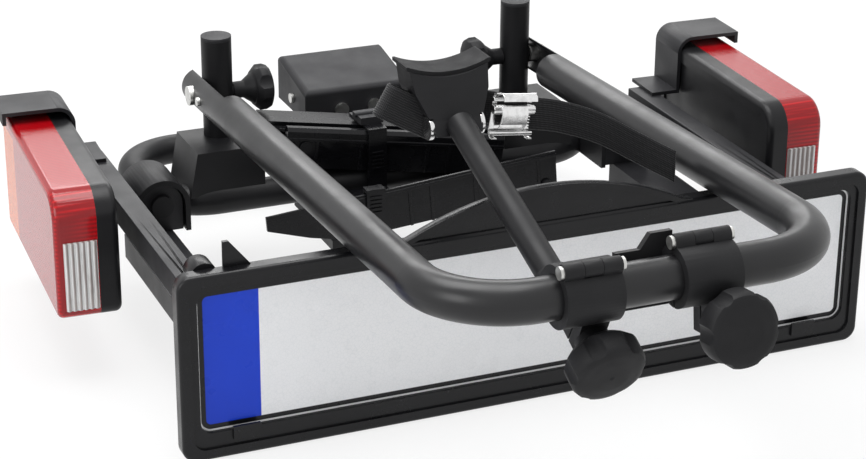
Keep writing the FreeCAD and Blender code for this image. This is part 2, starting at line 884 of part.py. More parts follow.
cover_body = new_body("cover")
cover_side = new_sketch(cover_body, "YZ", -s.cover_x)
draw(cover_side, [(s.cover_front_y, s.cover_low_z), (s.cover_back_y, s.cover_low_z),
                  (s.cover_back_y, s.cover_ridge_z), (s.cover_ridge_y, s.cover_ridge_z),
                  (s.cover_front_y, s.cover_front_z)])
cover_pad = pad(cover_body, cover_side, s.cover_x * 2)
cover_soft = round_edges(cover_body, cover_pad, s.cover_round,
                         lambda edge: edge.BoundBox.ZMin > float(s.cover_low_z) + 1)
cover_in = new_sketch(cover_body, "YZ", s.cover_x - s.cover_wall)
draw(cover_in, [(s.cover_front_y + s.cover_wall, s.cover_low_z - OVER),
                (s.cover_back_y - s.cover_wall, s.cover_low_z - OVER),
                (s.cover_back_y - s.cover_wall, s.cover_ridge_z - s.cover_wall),
                (s.cover_ridge_y, s.cover_ridge_z - s.cover_wall),
                (s.cover_front_y + s.cover_wall, s.cover_front_z - s.cover_wall)])
cover_body.Tip = pocket(cover_body, cover_in, (s.cover_x - s.cover_wall) * 2)
lever_pass = rod("X", s.lever_pin + s.stud_gap, s.cover_x - s.cover_wall - OVER, s.cover_x + OVER,
                 s.lever_y, s.lever_z)
rivet_y = (s.cover_front_y + s.cover_ridge_y) / 2
rivet_hole = rod("X", s.cover_bolt, -s.cover_x - OVER, -s.coupling_x, rivet_y, s.side_rivet_z)
node("coupling_cover", cut(cover_body, lever_pass, rivet_hole, *bolt_rods))
fasteners = []
for x, shank in zip((-s.cover_bolt_x, s.cover_bolt_x), bolt_rods):
    head = rod("Y", s.cover_bolt_head, s.cover_front_y - s.cover_bolt, s.cover_front_y, x, s.cover_bolt_z)
    fasteners.append(join(head, shank))
rivet_head = rod("X", s.side_rivet, -s.cover_x - s.rivet_high, -s.cover_x, rivet_y,
                 s.side_rivet_z)
rivet_rod = rod("X", s.cover_bolt, -s.cover_x, -s.coupling_x, rivet_y, s.side_rivet_z)
fasteners.append(join(rivet_head, rivet_rod))
node("cover_fasteners", group(*fasteners))

lever_x = s.cover_x + s.lever_gap
lever_plate = prism("YZ", [(s.lever_y - s.lever_reach, s.lever_z - s.lever_end),
                           (s.lever_y + s.lever_high / 2, s.lever_z - s.lever_high / 2),
                           (s.lever_y + s.lever_high / 2, s.lever_z + s.lever_high / 2),
                           (s.lever_y - s.lever_reach, s.lever_z + s.lever_end)],
                    lever_x, lever_x + s.lever_thick)
lever_grip = rod("X", s.lever_high / 2, lever_x, lever_x + s.lever_grip, s.lever_y - s.lever_reach,
                 s.lever_z)
pin_hole = rod("X", s.lever_pin, lever_x - OVER, lever_x + s.lever_thick + OVER, s.lever_y, s.lever_z)
node("coupling_lever", cut(join(lever_plate, lever_grip), pin_hole))
pin_shank = rod("X", s.lever_pin, s.coupling_x - s.lever_pin_depth + 1, lever_x + s.lever_thick, s.lever_y,
                s.lever_z)
pin_head = rod("X", s.lever_pin + 2, lever_x + s.lever_thick, lever_x + s.lever_thick + s.rivet_high,
               s.lever_y, s.lever_z)
node("lever_pin", join(pin_shank, pin_head))
node("lever_washer", cut(rod("X", s.washer, s.coupling_x, s.coupling_x + s.washer_thick, s.lever_y, s.lever_z),
                         rod("X", s.lever_pin + s.stud_gap, s.coupling_x - OVER, s.cover_x, s.lever_y, s.lever_z)))


# Arms that carry the plate holder, their brackets and bolts
def left_and_right(name, left):
    node(name + "_left", left)
    node(name + "_right", mirror(left))


def pair(name, make, *sizes):
    """The left part from the first set of sizes and the mirrored right part from the second."""
    node(name + "_left", make(*sizes[0]))
    node(name + "_right", mirror(make(*sizes[1])))


holder_back = s.plate_front_y - s.holder_lip + s.holder_depth
back_wall = s.plate_front_y + s.plate_thick + s.holder_wall
pocket_back = s.bracket_front_y + s.bracket_pocket
hood_half = (s.bracket_outer_x - s.bracket_inner_x) / 2
hood_x = (s.bracket_outer_x + s.bracket_inner_x) / 2
hood_z = s.bracket_top_z - hood_half


def arched(half, front, back):
    """A block with a half-round top, as wide as the bracket's hood or narrower."""
    return join(box(-hood_x - half, -hood_x + half, front, back, s.arm_top_z, hood_z),
                rod("Y", half, front, back, -hood_x, hood_z))


def plate_arm():
    pivot_x = s.lamp_pivot_x
    bar = box(-s.arm_outer_x, -s.arm_inner_x, back_wall, pocket_back, s.arm_low_z, s.arm_top_z)
    ear = arched(hood_half - s.ear_edge, pocket_back - s.ear_thick, pocket_back)
    reach = pivot_x + s.lamp_eye
    foot = box(-reach, -s.arm_inner_x, back_wall, s.lamp_pivot_y + s.lamp_eye, s.arm_low_z, s.arm_top_z)
    post = box(-reach, -pivot_x + s.lamp_eye, back_wall, s.lamp_pivot_y + s.lamp_eye, s.arm_low_z,
               s.lamp_block_top_z)
    ear_hole = rod("Y", s.ear_bolt, pocket_back - s.ear_thick - OVER, pocket_back + OVER, -hood_x, hood_z)
    pivot_rod = rod("Z", s.lamp_pivot, s.arm_low_z + OVER, s.lamp_arm_top_z, -pivot_x, s.lamp_pivot_y)
    return cut(join(bar, ear, foot, post), ear_hole, pivot_rod)


left_and_right("plate_arm", plate_arm())
hood_room = arched(hood_half - s.bracket_wall, s.bracket_front_y - OVER, pocket_back)
hood_hole = rod("Y", s.ear_bolt, pocket_back - OVER, s.bracket_back_y + OVER, -hood_x, hood_z)
left_and_right("arm_bracket", cut(arched(hood_half, s.bracket_front_y, s.bracket_back_y), hood_room, hood_hole,
                                  ring_full))
ear_bolts = []
for x in (-hood_x, hood_x):
    front = pocket_back - s.ear_thick
    head = rod("Y", s.ear_bolt_head, front - s.ear_bolt_high, front, x, hood_z)
    shank = rod("Y", s.ear_bolt, front, pocket_back + s.ear_thick, x, hood_z)
    ear_bolts.append(join(head, shank))
node("arm_bolts", group(*ear_bolts))

# Licence plate, its holder, clips and small light
holder_x = s.plate_wide / 2 + s.holder_border
holder_low = s.plate_low_z - s.holder_foot
holder_top = s.plate_low_z + s.plate_high + s.holder_head
holder_front = s.plate_front_y - s.holder_lip
holder_body = new_body("holder")
holder_face = new_sketch(holder_body, "XZ", -holder_back)
draw(holder_face, rectangle(-holder_x, holder_x, holder_low, holder_top))
holder_pad = pad(holder_body, holder_face, s.holder_depth)
holder_turns = round_edges(holder_body, holder_pad, s.holder_corner,
                           lambda edge: runs_along(edge, Vector(0, 1, 0)))
holder_soft = round_edges(holder_body, holder_turns, s.holder_round,
                          lambda edge: edge.BoundBox.YMax < float(holder_front) + 0.1)
step = new_sketch(holder_body, "XZ", -holder_front + OVER)
draw(step, rectangle(-holder_x + s.step_inset, holder_x - s.step_inset, holder_low + s.step_inset,
                     holder_top - s.step_inset))
step_cut = pocket(holder_body, step, s.step_deep + OVER)


def inside_corner(edge, half, back):
    """An edge along Y at a corner of a pocket that is half wide and reaches back."""
    on_side = abs(abs(edge.BoundBox.Center.x) - float(half)) < 0.1
    return runs_along(edge, Vector(0, 1, 0)) and on_side and abs(edge.BoundBox.YMax - float(back)) < 0.1


step_soft = round_edges(holder_body, step_cut, s.step_corner,
                        lambda edge: inside_corner(edge, holder_x - s.step_inset, holder_front + s.step_deep))
window = new_sketch(holder_body, "XZ", -holder_front + OVER)
draw(window, rectangle(-s.plate_wide / 2 + s.lip_cover, s.plate_wide / 2 - s.lip_cover,
                       s.plate_low_z + s.lip_cover, s.plate_low_z + s.plate_high - s.lip_cover))
window_cut = pocket(holder_body, window, s.holder_lip + OVER)
window_soft = round_edges(holder_body, window_cut, s.window_corner,
                          lambda edge: inside_corner(edge, s.plate_wide / 2 - s.lip_cover, s.plate_front_y))
hollow = new_sketch(holder_body, "XZ", -holder_back)
draw(hollow, clipped(s.hollow_corner, -holder_x + s.holder_wall, holder_x - s.holder_wall, holder_low + s.holder_wall,
                       holder_top - s.holder_wall))
holder_body.Tip = pocket(holder_body, hollow, holder_back - back_wall, True)
plate_box = box(-s.plate_wide / 2, s.plate_wide / 2, s.plate_front_y, s.plate_front_y + s.plate_thick,
                s.plate_low_z, s.plate_low_z + s.plate_high)
arch_low = holder_top - s.arch_radius + s.arch_rise
arch_front = s.plate_front_y - s.holder_lip + s.holder_round
flare_z = holder_top + s.arch_flare
flare_reach = root((s.arch_radius + s.arch_flare) * (s.arch_radius + s.arch_flare)
                   - (flare_z - arch_low) * (flare_z - arch_low))
touch_share = s.arch_radius / (s.arch_radius + s.arch_flare)


def arch(radius, front, back):
    """A round hump whose two ends run out level into the holder's top edge."""
    half = flare_reach * touch_share
    touch_z = arch_low + (flare_z - arch_low) * touch_share
    hump = common(rod("Y", radius, front, back, s.arch_x, arch_low),
                  box(s.arch_x - half, s.arch_x + half, front, back, holder_top - OVER,
                      holder_top + s.arch_rise * 2))
    parts = [hump]
    for side in (-1, 1):
        near, far = (half, flare_reach) if side > 0 else (-flare_reach, -half)
        block = box(s.arch_x + near, s.arch_x + far, front, back, holder_top - OVER, touch_z)
        parts.append(cut(block, rod("Y", s.arch_flare, front - OVER, back + OVER, s.arch_x + flare_reach * side,
                                    flare_z)))
    return join(*parts)


arch_back = arch_front + s.arch_thick
arch_face = rod("Y", s.arch_radius - s.arch_rim, arch_front - s.arch_rim_step - OVER, arch_front, s.arch_x, arch_low)
arch_rim = cut(join(arch(s.arch_radius, arch_front - s.arch_rim_step, arch_back)), arch_face)
tab = prism("XZ", [(-s.tab_x - s.tab_wide / 2, holder_top - s.holder_wall),
                   (-s.tab_x + s.tab_wide / 2, holder_top - s.holder_wall),
                   (-s.tab_x - s.tab_wide / 2 + s.tab_tip, holder_top + s.tab_high),
                   (-s.tab_x - s.tab_wide / 2, holder_top + s.tab_high)], holder_back - s.holder_wall, holder_back)
rest_of_holder = [holder_body, arch_rim, tab]
node("plate_holder", cut(join(*rest_of_holder), plate_box))
node("number_plate", plate_box)
clips = []
for x in (s.clip_left_x, s.clip_right_x):
    clips.append(box(x - s.clip_wide / 2, x + s.clip_wide / 2, holder_front, holder_front + s.clip_thick,
                     s.clip_z, s.clip_z + s.clip_high))
node("holder_clips", group(*clips))
light_stem = rod("Y", s.light_radius / 2, back_wall, holder_back, -s.light_x, s.light_z - s.light_radius)
light_head = rod("Y", s.light_radius, holder_back, holder_back + s.light_depth, -s.light_x,
                 s.light_z + s.light_radius / 2)
light_body = box(-s.light_x - s.light_radius, -s.light_x + s.light_radius, holder_back,
                 holder_back + s.light_depth / 2, s.light_z - s.light_drop, s.light_z + s.light_radius / 2)
node("plate_light", join(light_head, light_stem, light_body))

# Lamp pivots and lamp arms
pivots = []
for x in (-s.lamp_pivot_x, s.lamp_pivot_x):
    shank = rod("Z", s.lamp_pivot, s.arm_low_z + OVER, s.lamp_arm_top_z + s.knob_seat, x, s.lamp_pivot_y)
    head = rod("Z", s.lamp_nut, s.lamp_arm_top_z + s.knob_seat, s.lamp_arm_top_z + s.knob_seat + s.lamp_nut_high,
               x, s.lamp_pivot_y)
    pivots.append(join(shank, head))
node("lamp_pivots", group(*pivots))


def lamp_arm(back_y):
    pivot_x = s.lamp_pivot_x
    eye = rod("Z", s.lamp_eye, s.lamp_arm_low_z, s.lamp_arm_top_z, -pivot_x, s.lamp_pivot_y)
    bar = box(-pivot_x - s.lamp_arm_wide / 2, -pivot_x + s.lamp_arm_wide / 2, s.lamp_pivot_y, back_y,
              s.lamp_arm_low_z, s.lamp_arm_top_z)
    hole = rod("Z", s.lamp_pivot + s.stud_gap, s.lamp_arm_low_z - OVER, s.lamp_arm_top_z + OVER, -pivot_x,
               s.lamp_pivot_y)
    return cut(join(eye, bar), hole)


pair("lamp_arm", lamp_arm, (s.lamp_arm_back_y,), (s.right_arm_back_y,))

# Left lamp in its own frame, then turned into place; the right one is its mirror image, turned by itself
def lamp_place(x, y, turn):
    return FreeCAD.Placement(Vector(float(x), float(y), float(s.lamp_z)), Rotation(Vector(0, 0, 1), -float(turn)))


LEFT_PLACE = lamp_place(s.lamp_x, s.lamp_y, s.lamp_turn)
RIGHT_PLACE = lamp_place(s.right_lamp_x, s.right_lamp_y, s.right_lamp_turn)
lamp_out = s.shell_depth + s.lens_depth
ALONG_X = Vector(1, 0, 0)


def lamp_block(near, far, inset):
    """A block as long as the lamp less the inset all round, with the lamp's big round corner on top."""
    body = new_body("lamp")
    sketch = new_sketch(body, "YZ", near)
    draw(sketch, rectangle(inset, s.lamp_long - inset, inset, s.lamp_high - inset))
    solid = pad(body, sketch, size(far) - near)
    body.Tip = round_edges(body, solid, s.lamp_corner - inset,
                           lambda edge: runs_along(edge, ALONG_X) and edge.BoundBox.YMax < float(inset) + 0.1
                           and edge.BoundBox.ZMin > float(s.lamp_high - inset) - 0.1)
    return body


def lamp_half(near, far, skin):
    """One outer half of the lamp; the outline at skin is rounded."""
    body = lamp_block(near, far, size(0))
    heels = round_edges(body, body.Tip, s.lamp_heel,
                        lambda edge: runs_along(edge, ALONG_X)
                        and (edge.BoundBox.YMin > float(s.lamp_long) - 0.1 or edge.BoundBox.YMax < 0.1)
                        and (edge.BoundBox.ZMax < 0.1 or edge.BoundBox.ZMin > float(s.lamp_high) - 0.1))
    body.Tip = round_edges(body, heels, s.lamp_round,
                           lambda edge: abs(edge.BoundBox.XMin - float(skin)) < 0.1
                           and abs(edge.BoundBox.XMax - float(skin)) < 0.1)
    return body


shell = cut(lamp_half(-s.shell_depth, size(0), size(0)),
            lamp_block(-s.shell_depth - OVER, -s.lamp_wall - s.recess_depth, s.lamp_wall),
            lamp_block(-s.recess_depth, size(OVER), s.recess_margin))
window_far = -s.shell_depth - s.window_edge
window_near = window_far - s.window_wide
glass = box(window_near, window_far, -s.flute, s.lamp_wall, s.window_low, s.window_low + s.window_high)
glass_hole = box(window_near, window_far, -FAR, s.lamp_wall + OVER, s.window_low,
                 s.window_low + s.window_high)
lens = cut(lamp_half(-lamp_out, -s.shell_depth, -lamp_out),
           lamp_block(-lamp_out + s.lamp_wall, -s.shell_depth + OVER, s.lamp_wall), glass_hole)
flutes = []
for index in range(int(float(s.flute_count))):
    x = window_near + s.window_wide * (index + 0.5) / s.flute_count
    flutes.append(rod("Z", s.flute_radius, s.window_low, s.window_low + s.window_high, x, -s.flute))
bulb_wall = -s.lamp_wall - s.recess_depth
bulbs = []
for index in range(int(float(s.bulb_count))):
    y = s.bulb_first + s.bulb_pitch * index
    tip = bulb_wall - s.bulb_base_long
    glass_end = rod("X", s.bulb_glass, tip - s.bulb_radius, tip, y, s.lamp_high / 2)
    bulbs.append(join(rod("X", s.bulb_base, tip, bulb_wall, y, s.lamp_high / 2), glass_end))

# Guard: a bent sheet over the lamp's far end, with a flange that lies on the lamp arm
guard_start = s.lamp_long - s.guard_long + s.guard_sheet
guard_top = s.lamp_high + s.guard_rise
guard_side = -lamp_out - s.guard_reach


def bent_block(low_x, high_x, low_z, high_z, front, back, radius):
    """A block along Y whose upper edge on the side of the frame is round."""
    body = prism("XZ", rectangle(low_x, high_x, low_z, high_z), front, back)
    body.Tip = round_edges(body, body.Tip, radius,
                           lambda edge: runs_along(edge, Vector(0, 1, 0))
                           and edge.BoundBox.ZMin > float(high_z) - 0.1
                           and edge.BoundBox.XMin > float(high_x) - 0.1)
    return body


sheet_out = bent_block(guard_side, s.guard_sheet, s.lamp_high - s.guard_panel, guard_top + s.guard_sheet,
                       guard_start, s.lamp_long + s.guard_sheet, s.guard_bend)
sheet_in = bent_block(guard_side + s.guard_sheet, size(0), size(-OVER), guard_top, guard_start - OVER, s.lamp_long,
                      s.guard_bend - s.guard_sheet)
lip_room = box(guard_side - OVER, -lamp_out / 2, guard_start - OVER, s.lamp_long + s.guard_sheet + OVER, 0,
               guard_top - s.guard_lip)
end_room = box(-lamp_out / 2 - OVER, 0, s.lamp_long - OVER, s.lamp_long + s.guard_sheet + OVER, 0,
               s.lamp_high - s.guard_end)
flange_z = s.lamp_arm_top_z - s.lamp_z


def guard(front):
    flange = box(0, s.guard_flange, front, s.lamp_long, flange_z, flange_z + s.guard_sheet)
    leg = box(0, s.guard_sheet, front, s.lamp_long, flange_z, s.lamp_high - s.guard_panel + OVER)
    return cut(join(sheet_out, leg, flange), sheet_in, lip_room, end_room)


for name, part in (("lamp_guard", guard(guard_start)), ("lamp_housing", shell), ("lamp_lens", lens),
                   ("lamp_window", join(glass, *flutes)), ("lamp_bulbs", group(*bulbs))):
    node(name + "_left", placed(part, LEFT_PLACE))
    node(name + "_right", mirror(placed(part, RIGHT_PLACE)))

# Front tray: open channel with a high front wall, window frames outside and a sloping left end
front_floor = -s.front_tray_high
front_channel = prism("YZ", [(0, front_floor), (s.front_tray_wide, front_floor),
                             (s.front_tray_wide, front_floor + s.front_tray_back),
                             (s.front_tray_wide - s.tray_wall, front_floor + s.front_tray_back),
                             (s.front_tray_wide - s.tray_wall, front_floor + s.tray_wall),
                             (s.tray_wall, front_floor + s.tray_wall), (s.tray_wall, 0), (0, 0)],
                      0, s.front_tray_long)
front_slope = prism("XZ", [(-OVER, front_floor - OVER), (s.front_tray_cut_x, front_floor - OVER),
                           (s.front_slope_x, front_floor + s.front_slope_z),
                           (-OVER, front_floor + s.front_tray_cut_z)],
                    -FAR, s.front_tray_wide + OVER)


def ribs(long, low, high, cut_x):
    """Pairs of upright ribs and a top bar on the front wall."""
    parts = []
    position = float(s.rib_start)
    end = float(long) - float(s.rib_wide)
    while position < end:
        if position > float(cut_x):
            parts.append(box(position, position + s.rib_wide, -s.rib_high, 0, low, high))
        twin = position + float(s.rib_pair)
        if float(cut_x) < twin < end:
            parts.append(box(twin, twin + s.rib_wide, -s.rib_high, 0, low, high))
        position += float(s.rib_pitch)
    parts.append(box(cut_x, long, -s.rib_high, 0, high - s.rib_wide, high))
    return parts


front_windows = []
position = float(s.front_tray_cut_x) + float(s.rib_pair)
while position + float(s.rib_pitch - s.rib_pair) < float(s.front_tray_long):
    front_windows.append(box(position, position + s.rib_pitch - s.rib_pair - s.rib_wide * 2,
                             s.window_inset, s.front_tray_wide - s.window_inset, front_floor - OVER,
                             front_floor + s.tray_wall + OVER))
    position += float(s.rib_pitch)
front_pin_x = s.front_tray_long - s.tray_pin_inset
front_pin_z = front_floor + s.tray_pin_down
front_pin_hole = rod("Y", s.tray_pin, -FAR, s.front_tray_wide + OVER, front_pin_x, front_pin_z)
front_ribs = ribs(s.front_tray_long, front_floor, -s.front_rib_top, s.front_tray_cut_x)
front_outer = cut(join(front_channel, *front_ribs), front_slope, front_pin_hole, *front_windows)
node("tray_front_outer", placed(front_outer, FRONT_PLACE))
ladder_low = front_floor + s.tray_wall
ladder_front = s.tray_wall + s.inner_gap
ladder_back = s.front_tray_wide - s.tray_wall - s.inner_gap
ladder_start = s.front_tray_cut_x + s.ladder_rail
ladder = [box(ladder_start, s.front_tray_long, ladder_front, ladder_front + s.ladder_rail, ladder_low,
              ladder_low + s.ladder_high * 2),
          box(ladder_start, s.front_tray_long, ladder_back - s.ladder_rail, ladder_back, ladder_low,
              ladder_low + s.ladder_high * 2)]
position = float(ladder_start)
while position + float(s.rung) <= float(s.front_tray_long):
    ladder.append(box(position, position + s.rung, ladder_front, ladder_back, ladder_low,
                      ladder_low + s.ladder_high))
    position += float(s.rung_pitch)

# Rear tray: turned over, with its shoulder and groove on top
rear_section = [(0, -s.rear_tray_high), (s.tray_wall, -s.rear_tray_high),
                (s.tray_wall, -s.groove_deep - s.tray_wall),
                (s.shoulder + s.groove + s.tray_wall, -s.groove_deep - s.tray_wall),
                (s.shoulder + s.groove + s.tray_wall, -s.tray_wall),
                (s.rear_tray_wide - s.tray_wall, -s.tray_wall),
                (s.rear_tray_wide - s.tray_wall, -s.rear_tray_back), (s.rear_tray_wide, -s.rear_tray_back),
                (s.rear_tray_wide, 0), (s.shoulder + s.groove, 0), (s.shoulder + s.groove, -s.groove_deep),
                (s.shoulder, -s.groove_deep), (s.shoulder, -s.groove_edge),
                (s.shoulder - s.groove_edge, 0), (s.shoulder_round, 0), (0, -s.shoulder_round)]
rear_channel = prism("YZ", rear_section, -s.rear_tray_cut_x, s.rear_tray_long)
rear_slope = prism("XZ", [(-s.rear_tray_cut_x - OVER, -s.rear_tray_high - OVER),
                          (s.rear_tray_cut_x, -s.rear_tray_high - OVER),
                          (0, -s.rear_slope_z), (-s.rear_tray_cut_x - OVER, -s.tray_wall * 2)],
                   -FAR, s.rear_tray_wide + OVER)
rear_corner = prism("XY", [(-s.rear_tray_cut_x - OVER, -FAR), (0, -FAR), (0, s.shoulder),
                           (-s.rear_tray_cut_x - OVER, s.shoulder + s.groove)], -s.rear_tray_high - OVER, FAR)
rear_pin_x = s.rear_pin_inset
rear_pin_z = -s.rear_pin_down
rear_pin_hole = rod("Y", s.tray_pin, -FAR, s.rear_tray_wide + OVER, rear_pin_x, rear_pin_z)
rear_ribs = ribs(s.rear_tray_long, -s.rear_tray_high, -s.rear_rib_top, size(0))
rear_outer = cut(join(rear_channel, *rear_ribs), rear_slope, rear_corner, rear_pin_hole)
node("tray_rear_outer", placed(rear_outer, REAR_PLACE))
rear_block = placed(box(-s.rear_tray_cut_x, s.rear_tray_long, 0, s.rear_tray_wide, -s.rear_tray_high, 0),
                    REAR_PLACE)
node("tray_front_inner", cut(placed(cut(join(*ladder), front_pin_hole), FRONT_PLACE), rear_block))
rear_room = placed(box(-s.rear_tray_cut_x - OVER, s.rear_tray_long + OVER, -OVER, s.rear_tray_wide + OVER,
                       -s.groove_deep - s.tray_wall, FAR), REAR_PLACE)
base_front = s.tray_wall + s.base_front
base_back = s.rear_tray_wide - s.tray_wall - s.base_back
base_parts = [box(0, s.base_long, base_front, base_back, 0, s.base_high)]
for y in (base_front, base_back - s.ladder_rail):
    base_parts.append(box(0, s.base_rail, y, y + s.ladder_rail, 0, s.base_post_z))
base_parts.append(box(s.base_post_x, s.base_post_x + s.rung, base_front, base_back, 0, s.base_post_z))
node("tray_rear_inner", cut(placed(join(*base_parts), BASE_PLACE), rear_room,
                            placed(rear_pin_hole, REAR_PLACE)))
tray_pins = []
for wide, x, z, place, front in ((s.front_tray_wide, front_pin_x, front_pin_z, FRONT_PLACE, -s.rib_high),
                                 (s.rear_tray_wide, rear_pin_x, rear_pin_z, REAR_PLACE, -s.rib_high)):
    shank = rod("Y", s.tray_pin, 0, wide, x, z)
    head = rod("Y", s.tray_pin_head, -s.tray_pin_head / 2, 0, x, z)
    tail = rod("Y", s.tray_pin_head, wide, wide + s.tray_pin_tail, x, z)
    tray_pins.append(placed(join(shank, head, tail), place))
node("tray_hinge_pins", group(*tray_pins))

# Toothed wheel strap over both trays, with its ratchet
strap_mid = s.strap_x + s.strap_wide / 2 - s.rear_tray_x
rear_top = s.rear_tray_z - strap_mid * math.tan(math.radians(float(s.rear_tray_tilt)))
fold_y = s.rear_tray_y - strap_mid * math.tan(math.radians(float(s.rear_tray_turn))) - s.strap_thick
thick = s.strap_thick
end_y = s.front_tray_y - s.rib_high
front_x = s.strap_x - s.strap_step
wall_top = s.front_tray_z + (front_x + s.strap_wide - s.front_tray_x) * math.tan(
    math.radians(float(s.front_tray_tilt)))
low_run = wall_top - s.strap_drop
top_run = rear_top + thick + OVER
inner_y = s.front_tray_y + s.tray_wall + OVER


def strap_run(left, y0, y1, z0, z1):
    return box(left, left + s.strap_wide, y0, y1, z0, z1)


runs = [strap_run(s.strap_x, fold_y, fold_y + s.rear_tray_wide, rear_top - s.groove_deep - OVER, top_run),
        strap_run(s.strap_x, fold_y, fold_y + thick * 2, low_run, top_run),
        box(front_x, s.strap_x + s.strap_wide, inner_y, fold_y + thick * 2, low_run, low_run + thick),
        strap_run(front_x, inner_y, inner_y + thick, low_run, wall_top + thick + OVER),
        strap_run(front_x, end_y - thick, inner_y + thick, wall_top, wall_top + thick + OVER),
        strap_run(front_x, end_y - thick, end_y, wall_top - s.strap_tail, wall_top + thick)]
teeth = []
for index in range(int(float(s.tooth_count))):
    z = wall_top - s.tooth_pitch * (index + 1)
    near = end_y - thick
    teeth.append(box(front_x + s.tooth_inset, front_x + s.strap_wide - s.tooth_inset, near - s.tooth, near,
                     z, z + s.tooth))
    z = low_run + s.strap_drop + s.tooth_pitch * index
    teeth.append(box(s.strap_x + s.tooth_inset, s.strap_x + s.strap_wide - s.tooth_inset, fold_y - s.tooth,
                     fold_y, z, z + s.tooth))
node("wheel_strap", cut(join(*runs, *teeth), rear_block, placed(rear_outer, REAR_PLACE),
                        placed(front_outer, FRONT_PLACE), placed(join(*ladder), FRONT_PLACE)))
ratchet_y = fold_y + s.rear_tray_wide / 2
ratchet = join(box(s.strap_x - 2, s.strap_x - 2 + s.ratchet_wide, ratchet_y - s.ratchet_long / 2,
                   ratchet_y + s.ratchet_long / 2, top_run, top_run + s.ratchet_high),
               rod("X", s.ratchet_pin, s.strap_x - s.ratchet_pin_reach, s.strap_x + s.ratchet_wide, ratchet_y,
                   top_run + s.ratchet_high))
node("strap_ratchet", ratchet)

# Clamps on the crossbar, drawn around it with the split upright and then tipped
rise = math.radians(float(s.hoop_rise))
bar_y = float(s.pivot_y) - float(s.hoop_length) * math.cos(rise)
bar_z = float(s.pivot_z) + float(s.hoop_length) * math.sin(rise)


def tipped(obj, tilt):
    holder = group(obj)
    holder.Placement = FreeCAD.Placement(Vector(0, bar_y, bar_z), Rotation(Vector(1, 0, 0), tilt))
    return holder


def clamp(start, wide, middle, hole_at):
    """The two halves and the hinge pin; the jaw is on the -Y side."""
    inner = s.hoop_tube + s.clamp_gap
    outer = inner + s.clamp_wall
    end = start + wide
    hollow = rod("X", inner, start - OVER, end + OVER, 0, 0)
    halves = []
    for side in (-1, 1):
        near = s.clamp_split / 2
        far = outer + OVER
        y0, y1 = (near, far) if side > 0 else (-far, -near)
        half = common(rod("X", outer, start, end, 0, 0), box(start, end, y0, y1, -far, far))
        lug0, lug1 = (near, near + s.lug_thick) if side > 0 else (-near - s.lug_thick, -near)
        lug = box(middle - s.lug_wide / 2, middle + s.lug_wide / 2, lug0, lug1, -hole_at - s.lug_tip, -inner)
        barrels = []
        arms = []
        if side > 0:
            spans = ((start + s.knuckle, end - s.knuckle),)
        else:
            spans = ((start, start + s.knuckle - s.clamp_gap), (end - s.knuckle + s.clamp_gap, end))
        for low, high in spans:
            barrels.append(rod("X", s.hinge_barrel, low, high, 0, s.hinge_up))
            arm0, arm1 = (0, s.hinge_barrel) if side > 0 else (-s.hinge_barrel, 0)
            arms.append(box(low, high, arm0, arm1, inner, s.hinge_up))
        rest = rod("X", s.hinge_barrel + s.clamp_gap, start - OVER, end + OVER, 0, s.hinge_up)
        own = []
        for low, high in spans:
            own.append(rod("X", s.hinge_barrel + s.clamp_gap * 2, low - s.clamp_gap / 2, high + s.clamp_gap / 2,
                           0, s.hinge_up))
        clear = cut(rest, *own)
        halves.append(cut(join(half, lug, *arms, *barrels), hollow, clear,
                          rod("X", s.hinge_pin, start - OVER, end + OVER, 0, s.hinge_up)))
    pin = join(rod("X", s.hinge_pin, start - OVER, end + OVER, 0, s.hinge_up),
               rod("X", s.pin_head, start - s.rivet_high, start, 0, s.hinge_up),
               rod("X", s.pin_head, end, end + s.rivet_high, 0, s.hinge_up))
    stud_hole = rod("Y", s.stud + s.stud_gap, -s.lug_thick * 2, s.lug_thick * 2, middle, -hole_at)
    jaw, base = halves
    return cut(base, stud_hole), cut(jaw, stud_hole), pin


clamp_knob_y = -s.clamp_split / 2 - s.lug_thick - s.knob_seat - s.big_hub_high
holder_angle = math.atan2(float(s.holder_neck_z - s.holder_root_z), float(s.holder_neck_y - s.holder_root_y))
holder_length = math.hypot(float(s.holder_neck_z - s.holder_root_z), float(s.holder_neck_y - s.holder_root_y))


def along_holder(radius, start, end):
    """A cylinder along the holder's tube."""
    obj = doc.addObject("Part::Cylinder", "along")
    bind(obj, "Radius", radius)
    obj.Height = end - start
    spot = Vector(float(s.holder_x), float(s.holder_root_y) + start * math.cos(holder_angle),
                  float(s.holder_root_z) + start * math.sin(holder_angle))
    obj.Placement = FreeCAD.Placement(spot, Rotation(Vector(1, 0, 0), math.degrees(holder_angle) - 90))
    return obj


